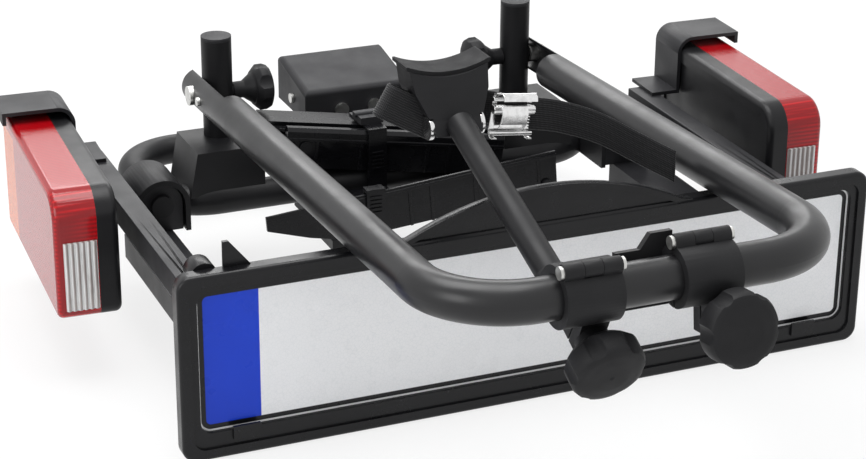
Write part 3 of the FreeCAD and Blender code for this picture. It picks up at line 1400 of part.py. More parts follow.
tube_solid = along_holder(s.holder_tube, 0.0, holder_length)
tube_bore = tipped(tube_solid, 0.0)
socket_rod = tipped(along_holder(s.holder_tube + s.socket_wall, -float(s.socket_back), float(s.socket_long)), 0.0)
bar_room = rod("X", s.hoop_tube + s.clamp_gap, s.hoop_bend - s.hoop_x, s.hoop_x - s.hoop_bend, bar_y, bar_z)
for name, start, wide, shift, hole_at, tilt in (
        ("long", s.long_clamp_x, s.long_clamp_wide, s.long_lug_shift, s.long_lug, s.long_clamp_tilt),
        ("short", s.short_clamp_x, s.short_clamp_wide, s.short_lug_shift, s.short_lug, s.short_clamp_tilt)):
    middle = start + wide / 2 + shift
    base, jaw, pin = clamp(start, wide, middle, hole_at)
    base = tipped(base, float(tilt))
    knob_body = knob(s.big_knob, s.big_knob_high, s.big_hub, s.big_neck, s.big_hub_high, s.stud, s.long_stud)
    put(knob_body, middle, clamp_knob_y, -hole_at, Rotation(Vector(1, 0, 0), 90))
    jaw = node("clamp_jaw_" + name, tipped(jaw, float(tilt)))
    stud_room = tipped(rod("Y", s.stud + s.stud_gap, -hole_at, hole_at, middle, -hole_at), float(tilt))
    if name == "long":
        extra = cut(socket_rod, bar_room, tube_bore, stud_room, jaw)
        base = join(base, extra)
        node("clamp_base_long", cut(base, tube_bore, stud_room, bar_room))
    else:
        inner = s.hoop_tube + s.clamp_gap
        left = start - s.tail_long
        tail = prism("XZ", [(left, -s.tail_low), (start + s.tail_waist, -s.tail_low),
                            (start + s.tail_waist, s.tail_rise), (start - s.tail_waist, s.tail_rise),
                            (start - s.tail_flare, s.tail_top), (left, s.tail_top)],
                     inner, inner + s.tail_thick)
        tail_hole = rod("Y", s.tail_hole, inner - OVER, inner + s.tail_thick + OVER, start - s.tail_flare,
                        -inner - s.tail_hole)
        node("clamp_base_short", join(base, cut(tipped(cut(tail, tail_hole), float(tilt)), bar_room)))
    node("clamp_pin_" + name, tipped(pin, float(tilt)))
    node("clamp_knob_" + name, tipped(knob_body, float(tilt)))

# Long holder: tube, cradle with its pad and bolt, webbing and buckle
tube_inside = along_holder(s.holder_tube - s.tube_wall, -OVER, holder_length + OVER)
node("holder_arm", tipped(cut(tube_solid, tube_inside), 0.0))

cradle_side = prism("YZ", [(s.cradle_front_y - s.cradle_nose, s.cradle_low_z - s.cradle_chin),
                           (s.cradle_front_y, s.cradle_low_z + s.cradle_nose),
                           (s.cradle_brow_y, s.cradle_top_z), (s.cradle_back_y, s.cradle_top_z),
                           (s.cradle_back_y, s.cradle_low_z + s.cradle_heel),
                           (s.cradle_brow_y, s.cradle_low_z - s.cradle_nose)],
                    s.holder_x - s.cradle_wide, s.holder_x + s.cradle_wide)
foot_half = s.cradle_foot_wide / 2
top_half = s.cradle_wide / 2
half_face = [(foot_half, s.cradle_low_z - s.cradle_skirt),
             (foot_half + s.cradle_flare, s.cradle_low_z + s.cradle_flare_z),
             (top_half - s.cradle_waist, s.cradle_low_z + s.cradle_waist_z), (top_half, s.cradle_top_z + OVER)]
cradle_face = prism("XZ", [(s.holder_x + x, z) for x, z in half_face]
                    + [(s.holder_x - x, z) for x, z in reversed(half_face)],
                    s.cradle_front_y - s.cradle_skirt, s.cradle_back_y + s.cradle_skirt)
saddle_z = s.cradle_top_z - s.saddle_dip + s.saddle_radius
saddle = rod("Y", s.saddle_radius, s.cradle_front_y - FAR, s.cradle_back_y + FAR, s.holder_x, saddle_z)
cradle_raw = common(cradle_side, cradle_face)
pad_room = rod("Y", s.saddle_radius + s.pad_thick, s.cradle_front_y - FAR, s.cradle_back_y + FAR, s.holder_x,
               saddle_z)
bolt_left = s.holder_x - s.bolt_reach
bolt_right = s.holder_x + s.bolt_reach
cradle_shank = rod("X", s.bolt_shank, bolt_left, bolt_right, s.bolt_y, s.bolt_z)
bolt_seats = [box(bolt_left - FAR, bolt_left, s.bolt_y - s.bolt_head, s.bolt_y + s.bolt_head,
                  s.bolt_z - s.bolt_head, s.bolt_z + s.bolt_head),
              box(bolt_right, bolt_right + FAR, s.bolt_y - s.bolt_head, s.bolt_y + s.bolt_head,
                  s.bolt_z - s.bolt_head, s.bolt_z + s.bolt_head)]
node("cradle", tipped(cut(cradle_raw, pad_room, tube_solid, cradle_shank, *bolt_seats), 0.0))
pad_block = prism("YZ", [(s.cradle_brow_y - s.pad_overhang, s.cradle_top_z - 2 * s.saddle_dip),
                         (s.cradle_brow_y - s.pad_overhang, s.cradle_top_z),
                         (s.cradle_back_y + s.pad_overhang, s.cradle_top_z),
                         (s.cradle_back_y + s.pad_overhang, s.cradle_top_z - 2 * s.saddle_dip)],
                  s.holder_x - s.cradle_wide / 2 - s.pad_overhang, s.holder_x + s.cradle_wide / 2 + s.pad_overhang)
node("cradle_pad", tipped(cut(common(pad_block, pad_room), saddle), 0.0))


WEB_ROUTE = ((-28, 244.6, 43), (6, 220.6, 40), (36, 220.6, 33), (66, 214.6, 22), (94, 204.6, 6), (118, 188.6, -7))


def web_band():
    """The webbing that leaves the cradle on the right and droops towards the floor."""
    wide = float(s.web_wide)
    thick = float(s.web_thick)
    sections = []
    for x, y, z in WEB_ROUTE:
        corners = [Vector(x, y, z - wide / 2), Vector(x, y + thick, z - wide / 2),
                   Vector(x, y + thick, z + wide / 2), Vector(x, y, z + wide / 2)]
        sections.append(Part.makePolygon(corners + corners[:1]))
    return Part.makeLoft(sections, True, True)


def web_loop():
    """The webbing loop on the left, drawn level and then tipped."""
    reach = float(s.web_loop)
    gap = float(s.web_loop_gap)
    thick = float(s.web_thick)
    outline = Part.makeBox(reach, gap + 2 * thick, float(s.web_wide), Vector(-reach, 0, 0))
    round_end = Part.makeCylinder(gap / 2 + thick, float(s.web_wide), Vector(-reach, gap / 2 + thick, 0))
    inside = Part.makeBox(reach + OVER, gap, float(s.web_wide) + 2 * OVER, Vector(-reach, thick, -OVER))
    inside_end = Part.makeCylinder(gap / 2, float(s.web_wide) + 2 * OVER,
                                   Vector(-reach, gap / 2 + thick, -OVER))
    solid = outline.fuse(round_end).cut(inside.fuse(inside_end)).removeSplitter()
    spot = Vector(float(s.holder_x - s.web_loop_start), float(s.web_loop_y), float(s.web_loop_z))
    solid.Placement = FreeCAD.Placement(spot, Rotation(Vector(0, 1, 0), float(s.web_loop_tilt)))
    return solid


buckle_x = s.holder_x + s.cradle_wide / 2 + s.buckle_gap
cradle_heads = [rod("X", s.bolt_head, bolt_left - s.bolt_head_high, bolt_left, s.bolt_y, s.bolt_z),
                rod("X", s.bolt_head, bolt_right, bolt_right + s.bolt_head_high, s.bolt_y, s.bolt_z)]
webbing = cut(group(shape(web_band()), shape(web_loop())), cradle_raw, tube_solid, *cradle_heads)
node("cradle_strap", tipped(webbing, 0.0))
buckle = cut(box(buckle_x, buckle_x + s.buckle_wide, s.buckle_y, s.buckle_y + s.buckle_thick, s.buckle_z,
                 s.buckle_z + s.buckle_high), shape(web_band()))
node("strap_buckle", tipped(buckle, 0.0))
node("cradle_bolt", tipped(join(cradle_shank, *cradle_heads), 0.0))

doc.recompute()
for name, obj in NODES:
    bad = [state for state in obj.State if state in ("Invalid", "Error")]
    if bad or obj.Shape.isNull() or not obj.Shape.isValid():
        raise RuntimeError("%s is not a sound shape" % name)
os.makedirs("parts", exist_ok=True)
for name, obj in NODES:
    obj.Shape.exportStep("parts/%s.step" % name)
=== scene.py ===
import math

import bmesh
import bpy
from mathutils import Matrix, Vector


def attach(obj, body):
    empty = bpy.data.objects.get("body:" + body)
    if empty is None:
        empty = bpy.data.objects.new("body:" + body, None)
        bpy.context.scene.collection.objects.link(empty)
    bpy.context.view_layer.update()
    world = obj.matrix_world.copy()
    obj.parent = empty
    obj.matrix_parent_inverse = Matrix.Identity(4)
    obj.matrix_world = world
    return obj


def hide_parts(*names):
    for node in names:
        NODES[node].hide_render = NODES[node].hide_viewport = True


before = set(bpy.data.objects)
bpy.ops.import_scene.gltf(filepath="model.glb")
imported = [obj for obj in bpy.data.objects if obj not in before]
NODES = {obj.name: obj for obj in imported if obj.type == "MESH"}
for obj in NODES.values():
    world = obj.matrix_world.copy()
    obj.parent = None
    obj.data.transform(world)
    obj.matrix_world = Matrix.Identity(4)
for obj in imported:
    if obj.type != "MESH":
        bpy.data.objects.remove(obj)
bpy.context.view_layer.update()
MM = 0.001
WAVE_PERIOD = 0.314  # length of one band of the wave texture at scale 1
NOISE_LOW, NOISE_HIGH = 0.3, 0.7  # most of a noise texture's values lie between these


# Node helpers for the materials and the world
class Nodes:
    """The node tree of a material or a world, emptied and then filled by short calls."""

    def __init__(self, owner):
        owner.use_nodes = True
        self.tree = owner.node_tree
        self.tree.nodes.clear()

    def add(self, kind, inputs=None, **settings):
        node = self.tree.nodes.new(kind)
        for key, value in settings.items():
            setattr(node, key, value)
        for socket, value in (inputs or {}).items():
            node.inputs[socket].default_value = value
        return node

    def link(self, source, target):
        self.tree.links.new(source, target)

    def reckon(self, how, first, second=0.0):
        """Works out a sum of a socket and a number or another socket."""
        node = self.add("ShaderNodeMath", operation=how)
        self.link(first, node.inputs[0])
        if isinstance(second, (int, float)):
            node.inputs[1].default_value = second
        else:
            self.link(second, node.inputs[1])
        return node.outputs["Value"]

    def seen_by(self, *rays):
        """1 for light rays of the named kinds and 0 for all others."""
        path = self.add("ShaderNodeLightPath")
        share = path.outputs[rays[0]]
        for ray in rays[1:]:
            share = self.reckon("MAXIMUM", share, path.outputs[ray])
        return share

    def join(self, share, first, second, output_kind):
        """Mixes two shaders by a share into an output node."""
        mix = self.add("ShaderNodeMixShader")
        self.link(share, mix.inputs["Fac"])
        self.link(first, mix.inputs[1])
        self.link(second, mix.inputs[2])
        self.link(mix.outputs["Shader"], self.add(output_kind).inputs["Surface"])


class Finish(Nodes):
    """A Principled material drawn from the surface's own coordinates; lengths are in metres."""

    def __init__(self, name, colour, roughness, **sockets):
        self.material = bpy.data.materials.new(name)
        super().__init__(self.material)
        plain = {"Base Color": (*colour, 1), "Roughness": roughness}
        self.shader = self.add("ShaderNodeBsdfPrincipled", plain)
        for socket, value in sockets.items():
            title = socket.replace("_", " ").title().replace("Ior", "IOR")
            self.shader.inputs[title].default_value = value
        output = self.add("ShaderNodeOutputMaterial")
        self.link(self.shader.outputs["BSDF"], output.inputs["Surface"])
        self.coordinates = self.add("ShaderNodeTexCoord")

    def noise(self, feature, detail=3.0, stretch=(1, 1, 1), source="Object"):
        """Noise from 0 to 1 whose features are about that size."""
        mapping = self.add("ShaderNodeMapping", {"Scale": stretch})
        self.link(self.coordinates.outputs[source], mapping.inputs["Vector"])
        node = self.add("ShaderNodeTexNoise", {"Scale": 1 / feature, "Detail": detail})
        self.link(mapping.outputs["Vector"], node.inputs["Vector"])
        return node.outputs["Fac"]

    def wave(self, pitch, axis, source="Object"):
        """Regular bands across an axis, from 0 to 1."""
        node = self.add("ShaderNodeTexWave", {"Scale": WAVE_PERIOD / pitch}, wave_type="BANDS",
                        bands_direction=axis)
        self.link(self.coordinates.outputs[source], node.inputs["Vector"])
        return node.outputs["Fac"]

    def part(self, axis):
        """One coordinate of the surface point, X, Y or Z."""
        node = self.add("ShaderNodeSeparateXYZ")
        self.link(self.coordinates.outputs["Object"], node.inputs["Vector"])
        return node.outputs[axis]

    def spread(self, value, low, high, to_low=0.0, to_high=1.0):
        """Maps a value's range to another one, clamped."""
        limits = {"From Min": low, "From Max": high, "To Min": to_low, "To Max": to_high}
        node = self.add("ShaderNodeMapRange", limits, clamp=True)
        self.link(value, node.inputs["Value"])
        return node.outputs["Result"]

    def blend(self, share, first, second):
        """Mixes two colours, each a tuple or a socket."""
        node = self.add("ShaderNodeMix", data_type="RGBA")
        self.link(share, node.inputs["Factor"])
        for socket, colour in (("A", first), ("B", second)):
            slot = [item for item in node.inputs if item.name == socket and item.type == "RGBA"][0]
            if isinstance(colour, tuple):
                slot.default_value = (*colour, 1)
            else:
                self.link(colour, slot)
        return [item for item in node.outputs if item.type == "RGBA"][0]

    def colour(self, socket):
        self.link(socket, self.shader.inputs["Base Color"])

    def rough(self, value, low, high):
        """Lets the roughness follow a noise between two values."""
        self.link(self.spread(value, NOISE_LOW, NOISE_HIGH, low, high), self.shader.inputs["Roughness"])

    def bump(self, height, depth, strength=1.0, after=None, coat=False):
        """Raises the surface by up to depth where height is 1."""
        node = self.add("ShaderNodeBump", {"Strength": strength, "Distance": depth})
        self.link(height, node.inputs["Height"])
        if after is not None:
            self.link(after, node.inputs["Normal"])
        self.link(node.outputs["Normal"], self.shader.inputs["Coat Normal" if coat else "Normal"])
        return node.outputs["Normal"]


# Materials
def dusty(colour):
    """A dark colour under a trace of dust."""
    return tuple(channel * 1.5 + 0.002 for channel in colour)


def coated_metal(name, colour, roughness, peel, shine=0.22):
    """Powder coat: fine orange peel, patches of slightly different gloss, a trace of dust."""
    dust_patch, gloss_patch, peel_size, pore_size = 50 * MM, 30 * MM, 2.2 * MM, 0.5 * MM
    pore_depth = peel * 0.3
    dust_from, dust_full, most_dust = 0.45, 0.75, 0.5
    finish = Finish(name, colour, roughness, specular_ior_level=shine)
    dust = finish.spread(finish.noise(dust_patch, detail=4), dust_from, dust_full, 0.0, most_dust)
    finish.colour(finish.blend(dust, colour, dusty(colour)))
    finish.rough(finish.noise(gloss_patch), roughness - 0.05, roughness + 0.07)
    slow = finish.bump(finish.noise(peel_size, detail=1), peel)
    finish.bump(finish.noise(pore_size, detail=2), pore_depth, after=slow)
    return finish.material


def moulded_plastic(name, colour, roughness, grain, grain_size=0.6 * MM, shine=0.22):
    """Moulded plastic with a fine spark-eroded grain and faint flow marks."""
    flow_mark, gloss_patch = 40 * MM, 20 * MM
    flow_from, flow_full, most_flow = 0.35, 0.7, 0.4
    finish = Finish(name, colour, roughness, specular_ior_level=shine)
    streaks = finish.noise(flow_mark, detail=2, stretch=(1, 1, 3))
    flow = finish.spread(streaks, flow_from, flow_full, 0.0, most_flow)
    finish.colour(finish.blend(flow, colour, dusty(colour)))
    finish.rough(finish.noise(gloss_patch), roughness - 0.06, roughness + 0.06)
    finish.bump(finish.noise(grain_size), grain)
    return finish.material


def bare_metal(name, colour, roughness, brush):
    """Plated metal with fine brushing and small stains."""
    stain_size, gloss_patch, scratch = 6 * MM, 3 * MM, 0.3 * MM
    stained = tuple(channel * 0.6 for channel in colour)
    stain_from, stain_full, most_stain = 0.4, 0.8, 0.6
    finish = Finish(name, colour, roughness, metallic=1.0)
    stain = finish.spread(finish.noise(stain_size, detail=4), stain_from, stain_full, 0.0, most_stain)
    finish.colour(finish.blend(stain, colour, stained))
    finish.rough(finish.noise(gloss_patch), roughness - 0.06, roughness + 0.12)
    finish.bump(finish.noise(scratch, detail=2, stretch=(1, 1, 8)), brush)
    return finish.material


def rubber_finish(name, colour):
    """Dull rubber with a soft grain."""
    gloss_patch, grain_size, grain = 10 * MM, 0.8 * MM, 0.06 * MM
    finish = Finish(name, colour, 0.78, specular_ior_level=0.3)
    finish.rough(finish.noise(gloss_patch), 0.7, 0.85)
    finish.bump(finish.noise(grain_size, detail=4), grain)
    return finish.material


def red_lens():
    """Red lamp plastic with a prism grid inside, an amber field at its far end and a clear coat."""
    red, deep_red = (0.52, 0.003, 0.007), (0.27, 0.002, 0.005)
    amber, deep_amber = (0.86, 0.2, 0.015), (0.62, 0.1, 0.008)
    prism_pitch, prism_depth = 3.2 * MM, 0.5 * MM
    amber_from_y, amber_full_y = 190 * MM, 192 * MM
    amber_below_z, amber_full_z = 139 * MM, 137.5 * MM
    sag_size, sag_depth = 20 * MM, 0.1 * MM
    finish = Finish("lens_red", red, 0.22, coat_weight=0.4, coat_roughness=0.05, specular_ior_level=0.22,
                    subsurface_weight=0.1, subsurface_scale=4 * MM, subsurface_radius=(1.0, 0.1, 0.1))
    grid = finish.reckon("MULTIPLY", finish.wave(prism_pitch, "Y"), finish.wave(prism_pitch, "Z"))
    far = finish.spread(finish.part("Y"), amber_from_y, amber_full_y)
    low = finish.spread(finish.part("Z"), amber_below_z, amber_full_z)
    amber_field = finish.reckon("MULTIPLY", far, low)
    finish.colour(finish.blend(amber_field, finish.blend(grid, deep_red, red),
                               finish.blend(grid, deep_amber, amber)))
    finish.bump(grid, prism_depth, strength=0.35)
    finish.bump(finish.noise(sag_size, detail=1), sag_depth, strength=0.4, coat=True)
    return finish.material


def clear_window():
    """Clear fluted plastic; its colour holds painted light, bright streaks along the flutes standing in for
    the reflector behind it.
    """
    flute_pitch, flute_depth, glint_size = 4.2 * MM, 0.5 * MM, 6 * MM
    shade, light = (0.46, 0.40, 0.38), (0.98, 0.98, 0.98)
    light_from, light_full = 0.05, 0.38
    finish = Finish("window_clear", (0.86, 0.85, 0.83), 0.12, coat_weight=1.0, coat_roughness=0.03,
                    transmission_weight=0.25, ior=1.49)
    flutes = finish.wave(flute_pitch, "X")
    uneven = finish.noise(glint_size, detail=2, stretch=(1, 1, 0.3))
    # Painted reflection: the colour runs from shade to light along the flutes, the reflector's glow painted
    # in.
    painted_glint = finish.reckon("MULTIPLY", flutes, uneven)
    finish.colour(finish.blend(finish.spread(painted_glint, light_from, light_full), shade, light))
    finish.bump(flutes, flute_depth, strength=0.8)
    return finish.material


def bulb_glass():
    """Warm, slightly uneven glass."""
    gloss_patch, ripple, ripple_depth = 2 * MM, 1 * MM, 0.05 * MM
    finish = Finish("bulb_glass", (0.9, 0.82, 0.7), 0.08, transmission_weight=0.7, ior=1.45)
    finish.rough(finish.noise(gloss_patch), 0.05, 0.15)
    finish.bump(finish.noise(ripple), ripple_depth)
    return finish.material


def past_rounded_box(finish, half_wide, half_high, middle_z, corner):
    """How far the surface point lies outside a rounded rectangle in X and Z, below 0 inside it."""
    squares = []
    for axis, centre, half in (("X", 0.0, half_wide), ("Z", middle_z, half_high)):
        reach = finish.reckon("ABSOLUTE", finish.reckon("ADD", finish.part(axis), -centre))
        past = finish.reckon("MAXIMUM", finish.reckon("ADD", reach, corner - half))
        squares.append(finish.reckon("POWER", past, 2.0))
    distance = finish.reckon("POWER", finish.reckon("ADD", *squares), 0.5)
    return finish.reckon("ADD", distance, -corner)


def plate_face():
    """Reflective plate: white sheeting with a honeycomb weld, blue at its left end, black border."""
    half_wide, half_high, middle_z, corner = 259 * MM, 54 * MM, 74 * MM, 9 * MM
    border_inside, border_outside, border_fade = -5.2 * MM, -1.6 * MM, 0.3 * MM
    blue_edge, blue_fade = -213.5 * MM, 0.2 * MM
    cell, weld_height = 2.6 * MM, 0.03 * MM
    weld_from, weld_to = 0.02, 0.09  # distance from a cell's edge, in cells
    cloud_size, gloss_patch = 90 * MM, 30 * MM
    cloud_from, cloud_to = 0.35, 0.7
    black, rim_white, weld_grey = (0.008, 0.008, 0.009), (0.9, 0.9, 0.9), (0.86, 0.87, 0.88)
    finish = Finish("plate_reflective", (0.9, 0.905, 0.91), 0.35, coat_weight=0.15, coat_roughness=0.08,
                    specular_ior_level=0.2)
    cells = finish.add("ShaderNodeTexVoronoi", {"Scale": 1 / cell}, feature="DISTANCE_TO_EDGE")
    finish.link(finish.coordinates.outputs["Object"], cells.inputs["Vector"])
    weld = finish.spread(cells.outputs["Distance"], weld_from, weld_to)
    cloud = finish.spread(finish.noise(cloud_size), cloud_from, cloud_to)
    white = finish.blend(cloud, (0.90, 0.905, 0.915), (0.93, 0.93, 0.935))
    white = finish.blend(weld, weld_grey, white)
    blue = finish.blend(cloud, (0.005, 0.045, 0.56), (0.006, 0.060, 0.68))
    band = finish.spread(finish.part("X"), blue_edge - blue_fade, blue_edge + blue_fade, 1.0, 0.0)
    from_edge = past_rounded_box(finish, half_wide, half_high, middle_z, corner)
    border = finish.spread(from_edge, border_inside, border_inside + border_fade)
    rim = finish.spread(from_edge, border_outside, border_outside + border_fade)
    field = finish.blend(border, finish.blend(band, white, blue), black)
    finish.colour(finish.blend(rim, field, rim_white))
    finish.rough(finish.noise(gloss_patch), 0.24, 0.36)
    finish.bump(weld, weld_height, strength=0.5)
    return finish.material


def webbing_finish():
    """Woven tape: crossed threads, dull with a slight sheen; the gaps between threads get a darker colour,
    painted shade.
    """
    thread_pitch, row_pitch, weave_depth = 1.1 * MM, 1.6 * MM, 0.35 * MM
    fuzz_size, fuzz_depth = 0.4 * MM, 0.05 * MM
    shaded_gap, thread = (0.006, 0.006, 0.007), (0.04, 0.04, 0.042)
    finish = Finish("webbing_black", (0.016, 0.016, 0.017), 0.7, sheen_weight=0.25, sheen_roughness=0.4,
                    specular_ior_level=0.3)
    across = finish.wave(thread_pitch, "X", "UV")
    along = finish.wave(row_pitch, "Y", "UV")
    weave = finish.reckon("MULTIPLY", across, along)
    # Painted shade: the colour darkens in the recesses between the threads.
    finish.colour(finish.blend(finish.spread(weave, 0.0, 1.0), shaded_gap, thread))
    woven = finish.bump(weave, weave_depth)
    finish.bump(finish.noise(fuzz_size, source="UV"), fuzz_depth, after=woven)
    return finish.material


FINISH = {
    "hoop": coated_metal("coat_hoop", (0.009, 0.009, 0.010), 0.33, 0.02 * MM, 0.42),
    "steel": coated_metal("coat_satin", (0.010, 0.010, 0.011), 0.42, 0.03 * MM),
    "arm": coated_metal("coat_arm", (0.016, 0.016, 0.018), 0.45, 0.03 * MM, 0.3),
    "cast": coated_metal("coat_cast", (0.012, 0.012, 0.013), 0.5, 0.06 * MM),
    "sheet": coated_metal("coat_sheet", (0.016, 0.016, 0.018), 0.46, 0.03 * MM, 0.28),
    "iron": coated_metal("iron_black", (0.012, 0.012, 0.013), 0.55, 0.08 * MM),
    "holder": moulded_plastic("plastic_holder", (0.006, 0.006, 0.007), 0.30, 0.02 * MM, shine=0.28),
    "tray": moulded_plastic("plastic_tray", (0.005, 0.005, 0.006), 0.26, 0.02 * MM, shine=0.22),
    "shell": moulded_plastic("plastic_shell", (0.008, 0.008, 0.009), 0.36, 0.015 * MM, shine=0.26),
    "cover": moulded_plastic("plastic_cover", (0.024, 0.024, 0.026), 0.55, 0.08 * MM),
    "knob": moulded_plastic("plastic_knob", (0.010, 0.010, 0.011), 0.55, 0.1 * MM, 0.9 * MM),
    "cradle": moulded_plastic("plastic_cradle", (0.009, 0.009, 0.010), 0.5, 0.08 * MM, 0.9 * MM),
    "zinc": bare_metal("zinc", (0.62, 0.62, 0.60), 0.34, 0.02 * MM),
    "chrome": bare_metal("chrome", (0.78, 0.78, 0.78), 0.12, 0.01 * MM),
    "rubber": rubber_finish("rubber_pad", (0.012, 0.012, 0.013)),
    "red": red_lens(),
    "clear": clear_window(),
    "bulb": bulb_glass(),
    "plate": plate_face(),
    "webbing": webbing_finish(),
}
WEARS = {
    "hoop": ("hoop",),
    "steel": ("frame_loop", "post_left", "post_right", "arm_bracket_left", "arm_bracket_right", "arm_bolts",
              "tray_hinge_pins", "holder_arm"),
    "arm": ("plate_arm_left", "plate_arm_right", "lamp_arm_left", "lamp_arm_right"),
    "cast": ("clamp_base_long", "clamp_base_short", "clamp_jaw_long", "clamp_jaw_short"),
    "sheet": ("lamp_guard_left", "lamp_guard_right"),
    "iron": ("coupling_housing", "coupling_jaw", "coupling_lever"),
    "holder": ("plate_holder", "plate_light", "holder_clips"),
    "tray": ("tray_front_inner", "tray_front_outer", "tray_rear_inner", "tray_rear_outer", "wheel_strap"),
    "shell": ("lamp_housing_left", "lamp_housing_right"),
    "cover": ("coupling_cover", "post_caps", "strap_ratchet"),
    "knob": ("post_knob_left", "post_knob_right", "clamp_knob_long", "clamp_knob_short"),
    "cradle": ("cradle",),
    "zinc": ("hoop_bolts", "lamp_pivots", "clamp_pin_long", "clamp_pin_short", "cover_fasteners",
             "lever_pin", "lever_washer"),
    "chrome": ("cradle_bolt",),
    "rubber": ("cradle_pad",),
    "red": ("lamp_lens_left", "lamp_lens_right"),
    "clear": ("lamp_window_left", "lamp_window_right"),
    "bulb": ("lamp_bulbs_left", "lamp_bulbs_right"),
    "plate": ("number_plate",),
}
# Width in mm of the broken edges on the frame's nodes
SOFT_EDGES = {
    0.3: ("wheel_strap",),
    0.4: ("coupling_cover",),
    0.5: ("clamp_base_long", "clamp_base_short", "clamp_jaw_long", "clamp_jaw_short", "lamp_guard_left",
          "lamp_guard_right", "tray_front_outer", "tray_rear_outer"),
    0.6: ("cradle_bolt", "plate_holder", "plate_light"),
    0.8: ("arm_bracket_left", "arm_bracket_right", "plate_arm_left", "plate_arm_right", "lamp_arm_left",
          "lamp_arm_right", "post_caps", "strap_ratchet"),
    1.2: ("cradle",),
    1.4: ("post_knob_left", "post_knob_right"),
    2.0: ("clamp_knob_long", "clamp_knob_short"),
}


def dress(obj, finish):
    """Gives a node of the frame its one material."""
    obj.data.materials.clear()
    obj.data.materials.append(FINISH[finish])


def bevel(obj, width):
    """Broken edges of a width in mm, in two steps."""
    edges = obj.modifiers.new("edges", "BEVEL")
    edges.width = width * MM
    edges.segments = 2
    edges.limit_method = "ANGLE"
    return edges


def soften(obj, width):
    """Broken edges on a node of the frame: welded first, so that neighbouring faces share their edge."""
    weld = obj.modifiers.new("weld", "WELD")
    weld.merge_threshold = 0.01 * MM
    edges = bevel(obj, width)
    edges.angle_limit = math.radians(40)
    edges.harden_normals = True


for finish_name, names in WEARS.items():
    for node_name in names:
        dress(NODES[node_name], finish_name)
for edge_width, names in SOFT_EDGES.items():
    for node_name in names:
        soften(NODES[node_name], edge_width)


# Helpers for the pieces made here; their lengths are in mm
def add_object(name, data):
    obj = bpy.data.objects.new(name, data)
    bpy.context.scene.collection.objects.link(obj)
    return obj


def finish_mesh(name, bm, finish):
    """Turns a bmesh into a piece dressed in one finish."""
    bmesh.ops.recalc_face_normals(bm, faces=bm.faces)
    mesh = bpy.data.meshes.new(name)
    bm.to_mesh(mesh)
    bm.free()
    obj = add_object(name, mesh)
    obj.data.materials.append(FINISH[finish])
    return obj


def placed(spot, turn):
    """A place in the frame, turned about Y by some degrees."""
    return Matrix.Translation(Vector(spot) * MM) @ Matrix.Rotation(math.radians(turn), 4, "Y")


# Webbing: a ribbed tape swept along a path; the rib's depth is a share of the tape's thickness
TAPE_WIDE, TAPE_THICK = 25.0, 2.0
TAPE_RIBS, RIB_COLUMNS, RIB_DEPTH = 11, 4, 0.22
EDGE_POWER, EDGE_LEAST = 14, 0.05  # how square the tape's edges are, and how thin they end
DROOPING_END = ((-34, -43, 208), (-14, -54, 208), (6, -65, 205), (36, -65, 198), (66, -71, 187),
                (94, -81, 171), (118, -97, 158))
LOOP_SPOT, LOOP_TURN = (-65, -63, 192), 30
LOOP_REACH, LOOP_GAP = 42.0, 8.0


def curve_through(points):
    """A smooth run of points through the given ones, in metres."""
    steps = 10
    spots = [Vector(point) * MM for point in points]
    ends = [spots[0] * 2 - spots[1]] + spots + [spots[-1] * 2 - spots[-2]]
    path = []
    for index in range(1, len(ends) - 2):
        a, b, c, d = ends[index - 1:index + 3]
        for step in range(steps):
            t = step / steps
            path.append(0.5 * ((2 * b) + (c - a) * t + (2 * a - 5 * b + 4 * c - d) * t * t
                               + (3 * b - a - 3 * c + d) * t ** 3))
    path.append(spots[-1])
    return path


def loop_path():
    """The loop seen along its width: straight out, round a half turn and straight back over itself."""
    straight_steps, turn_steps = 8, 12
    radius = (LOOP_GAP + TAPE_THICK) / 2
    low, middle, high = TAPE_THICK / 2, LOOP_GAP / 2 + TAPE_THICK, LOOP_GAP + 1.5 * TAPE_THICK
    path = [(-LOOP_REACH * step / straight_steps, low) for step in range(straight_steps)]
    for step in range(turn_steps + 1):
        angle = math.radians(-90 - 180 * step / turn_steps)
        path.append((-LOOP_REACH + radius * math.cos(angle), middle + radius * math.sin(angle)))
    path += [(-LOOP_REACH * (straight_steps - step) / straight_steps, high)
             for step in range(1, straight_steps + 1)]
    return path


def tape_outline(spot, side, out):
    """The points round the tape at one spot: ribbed on both faces and thinner at its edges."""
    columns = TAPE_RIBS * RIB_COLUMNS
    outline = []
    for face in (1, -1):
        for column in range(columns + 1):
            t = (column / columns - 0.5) * face
            rib = 1 - RIB_DEPTH + RIB_DEPTH * abs(math.cos(math.pi * TAPE_RIBS * (t + 0.5)))
            edge = math.sqrt(max(EDGE_LEAST, 1 - (abs(t) * 2) ** EDGE_POWER))
            outline.append(spot + side * TAPE_WIDE * MM * t + out * face * TAPE_THICK * MM / 2 * rib * edge)
    return outline


def tape(bm, uv, path, side):
    """Adds a closed strip of webbing whose width runs along side; its UVs are lengths in metres."""
    rings = []
    travel = []
    gone = 0.0
    for index, spot in enumerate(path):
        before = path[max(index - 1, 0)]
        after = path[min(index + 1, len(path) - 1)]
        if index:
            gone += (spot - before).length
        travel.append(gone)
        out = (after - before).normalized().cross(side).normalized()
        rings.append([bm.verts.new(point) for point in tape_outline(spot, side, out)])
    count = len(rings[0])
    for index in range(len(rings) - 1):
        for column in range(count):
            after = (column + 1) % count
            face = bm.faces.new((rings[index][column], rings[index][after], rings[index + 1][after],
                                 rings[index + 1][column]))
            face.smooth = True
            corners = ((index, column), (index, column + 1), (index + 1, column + 1), (index + 1, column))
            for loop, (row, place) in zip(face.loops, corners):
                loop[uv].uv = (travel[row], place / count * TAPE_WIDE * MM * 2)
    bm.faces.new(list(reversed(rings[0])))
    bm.faces.new(rings[-1])


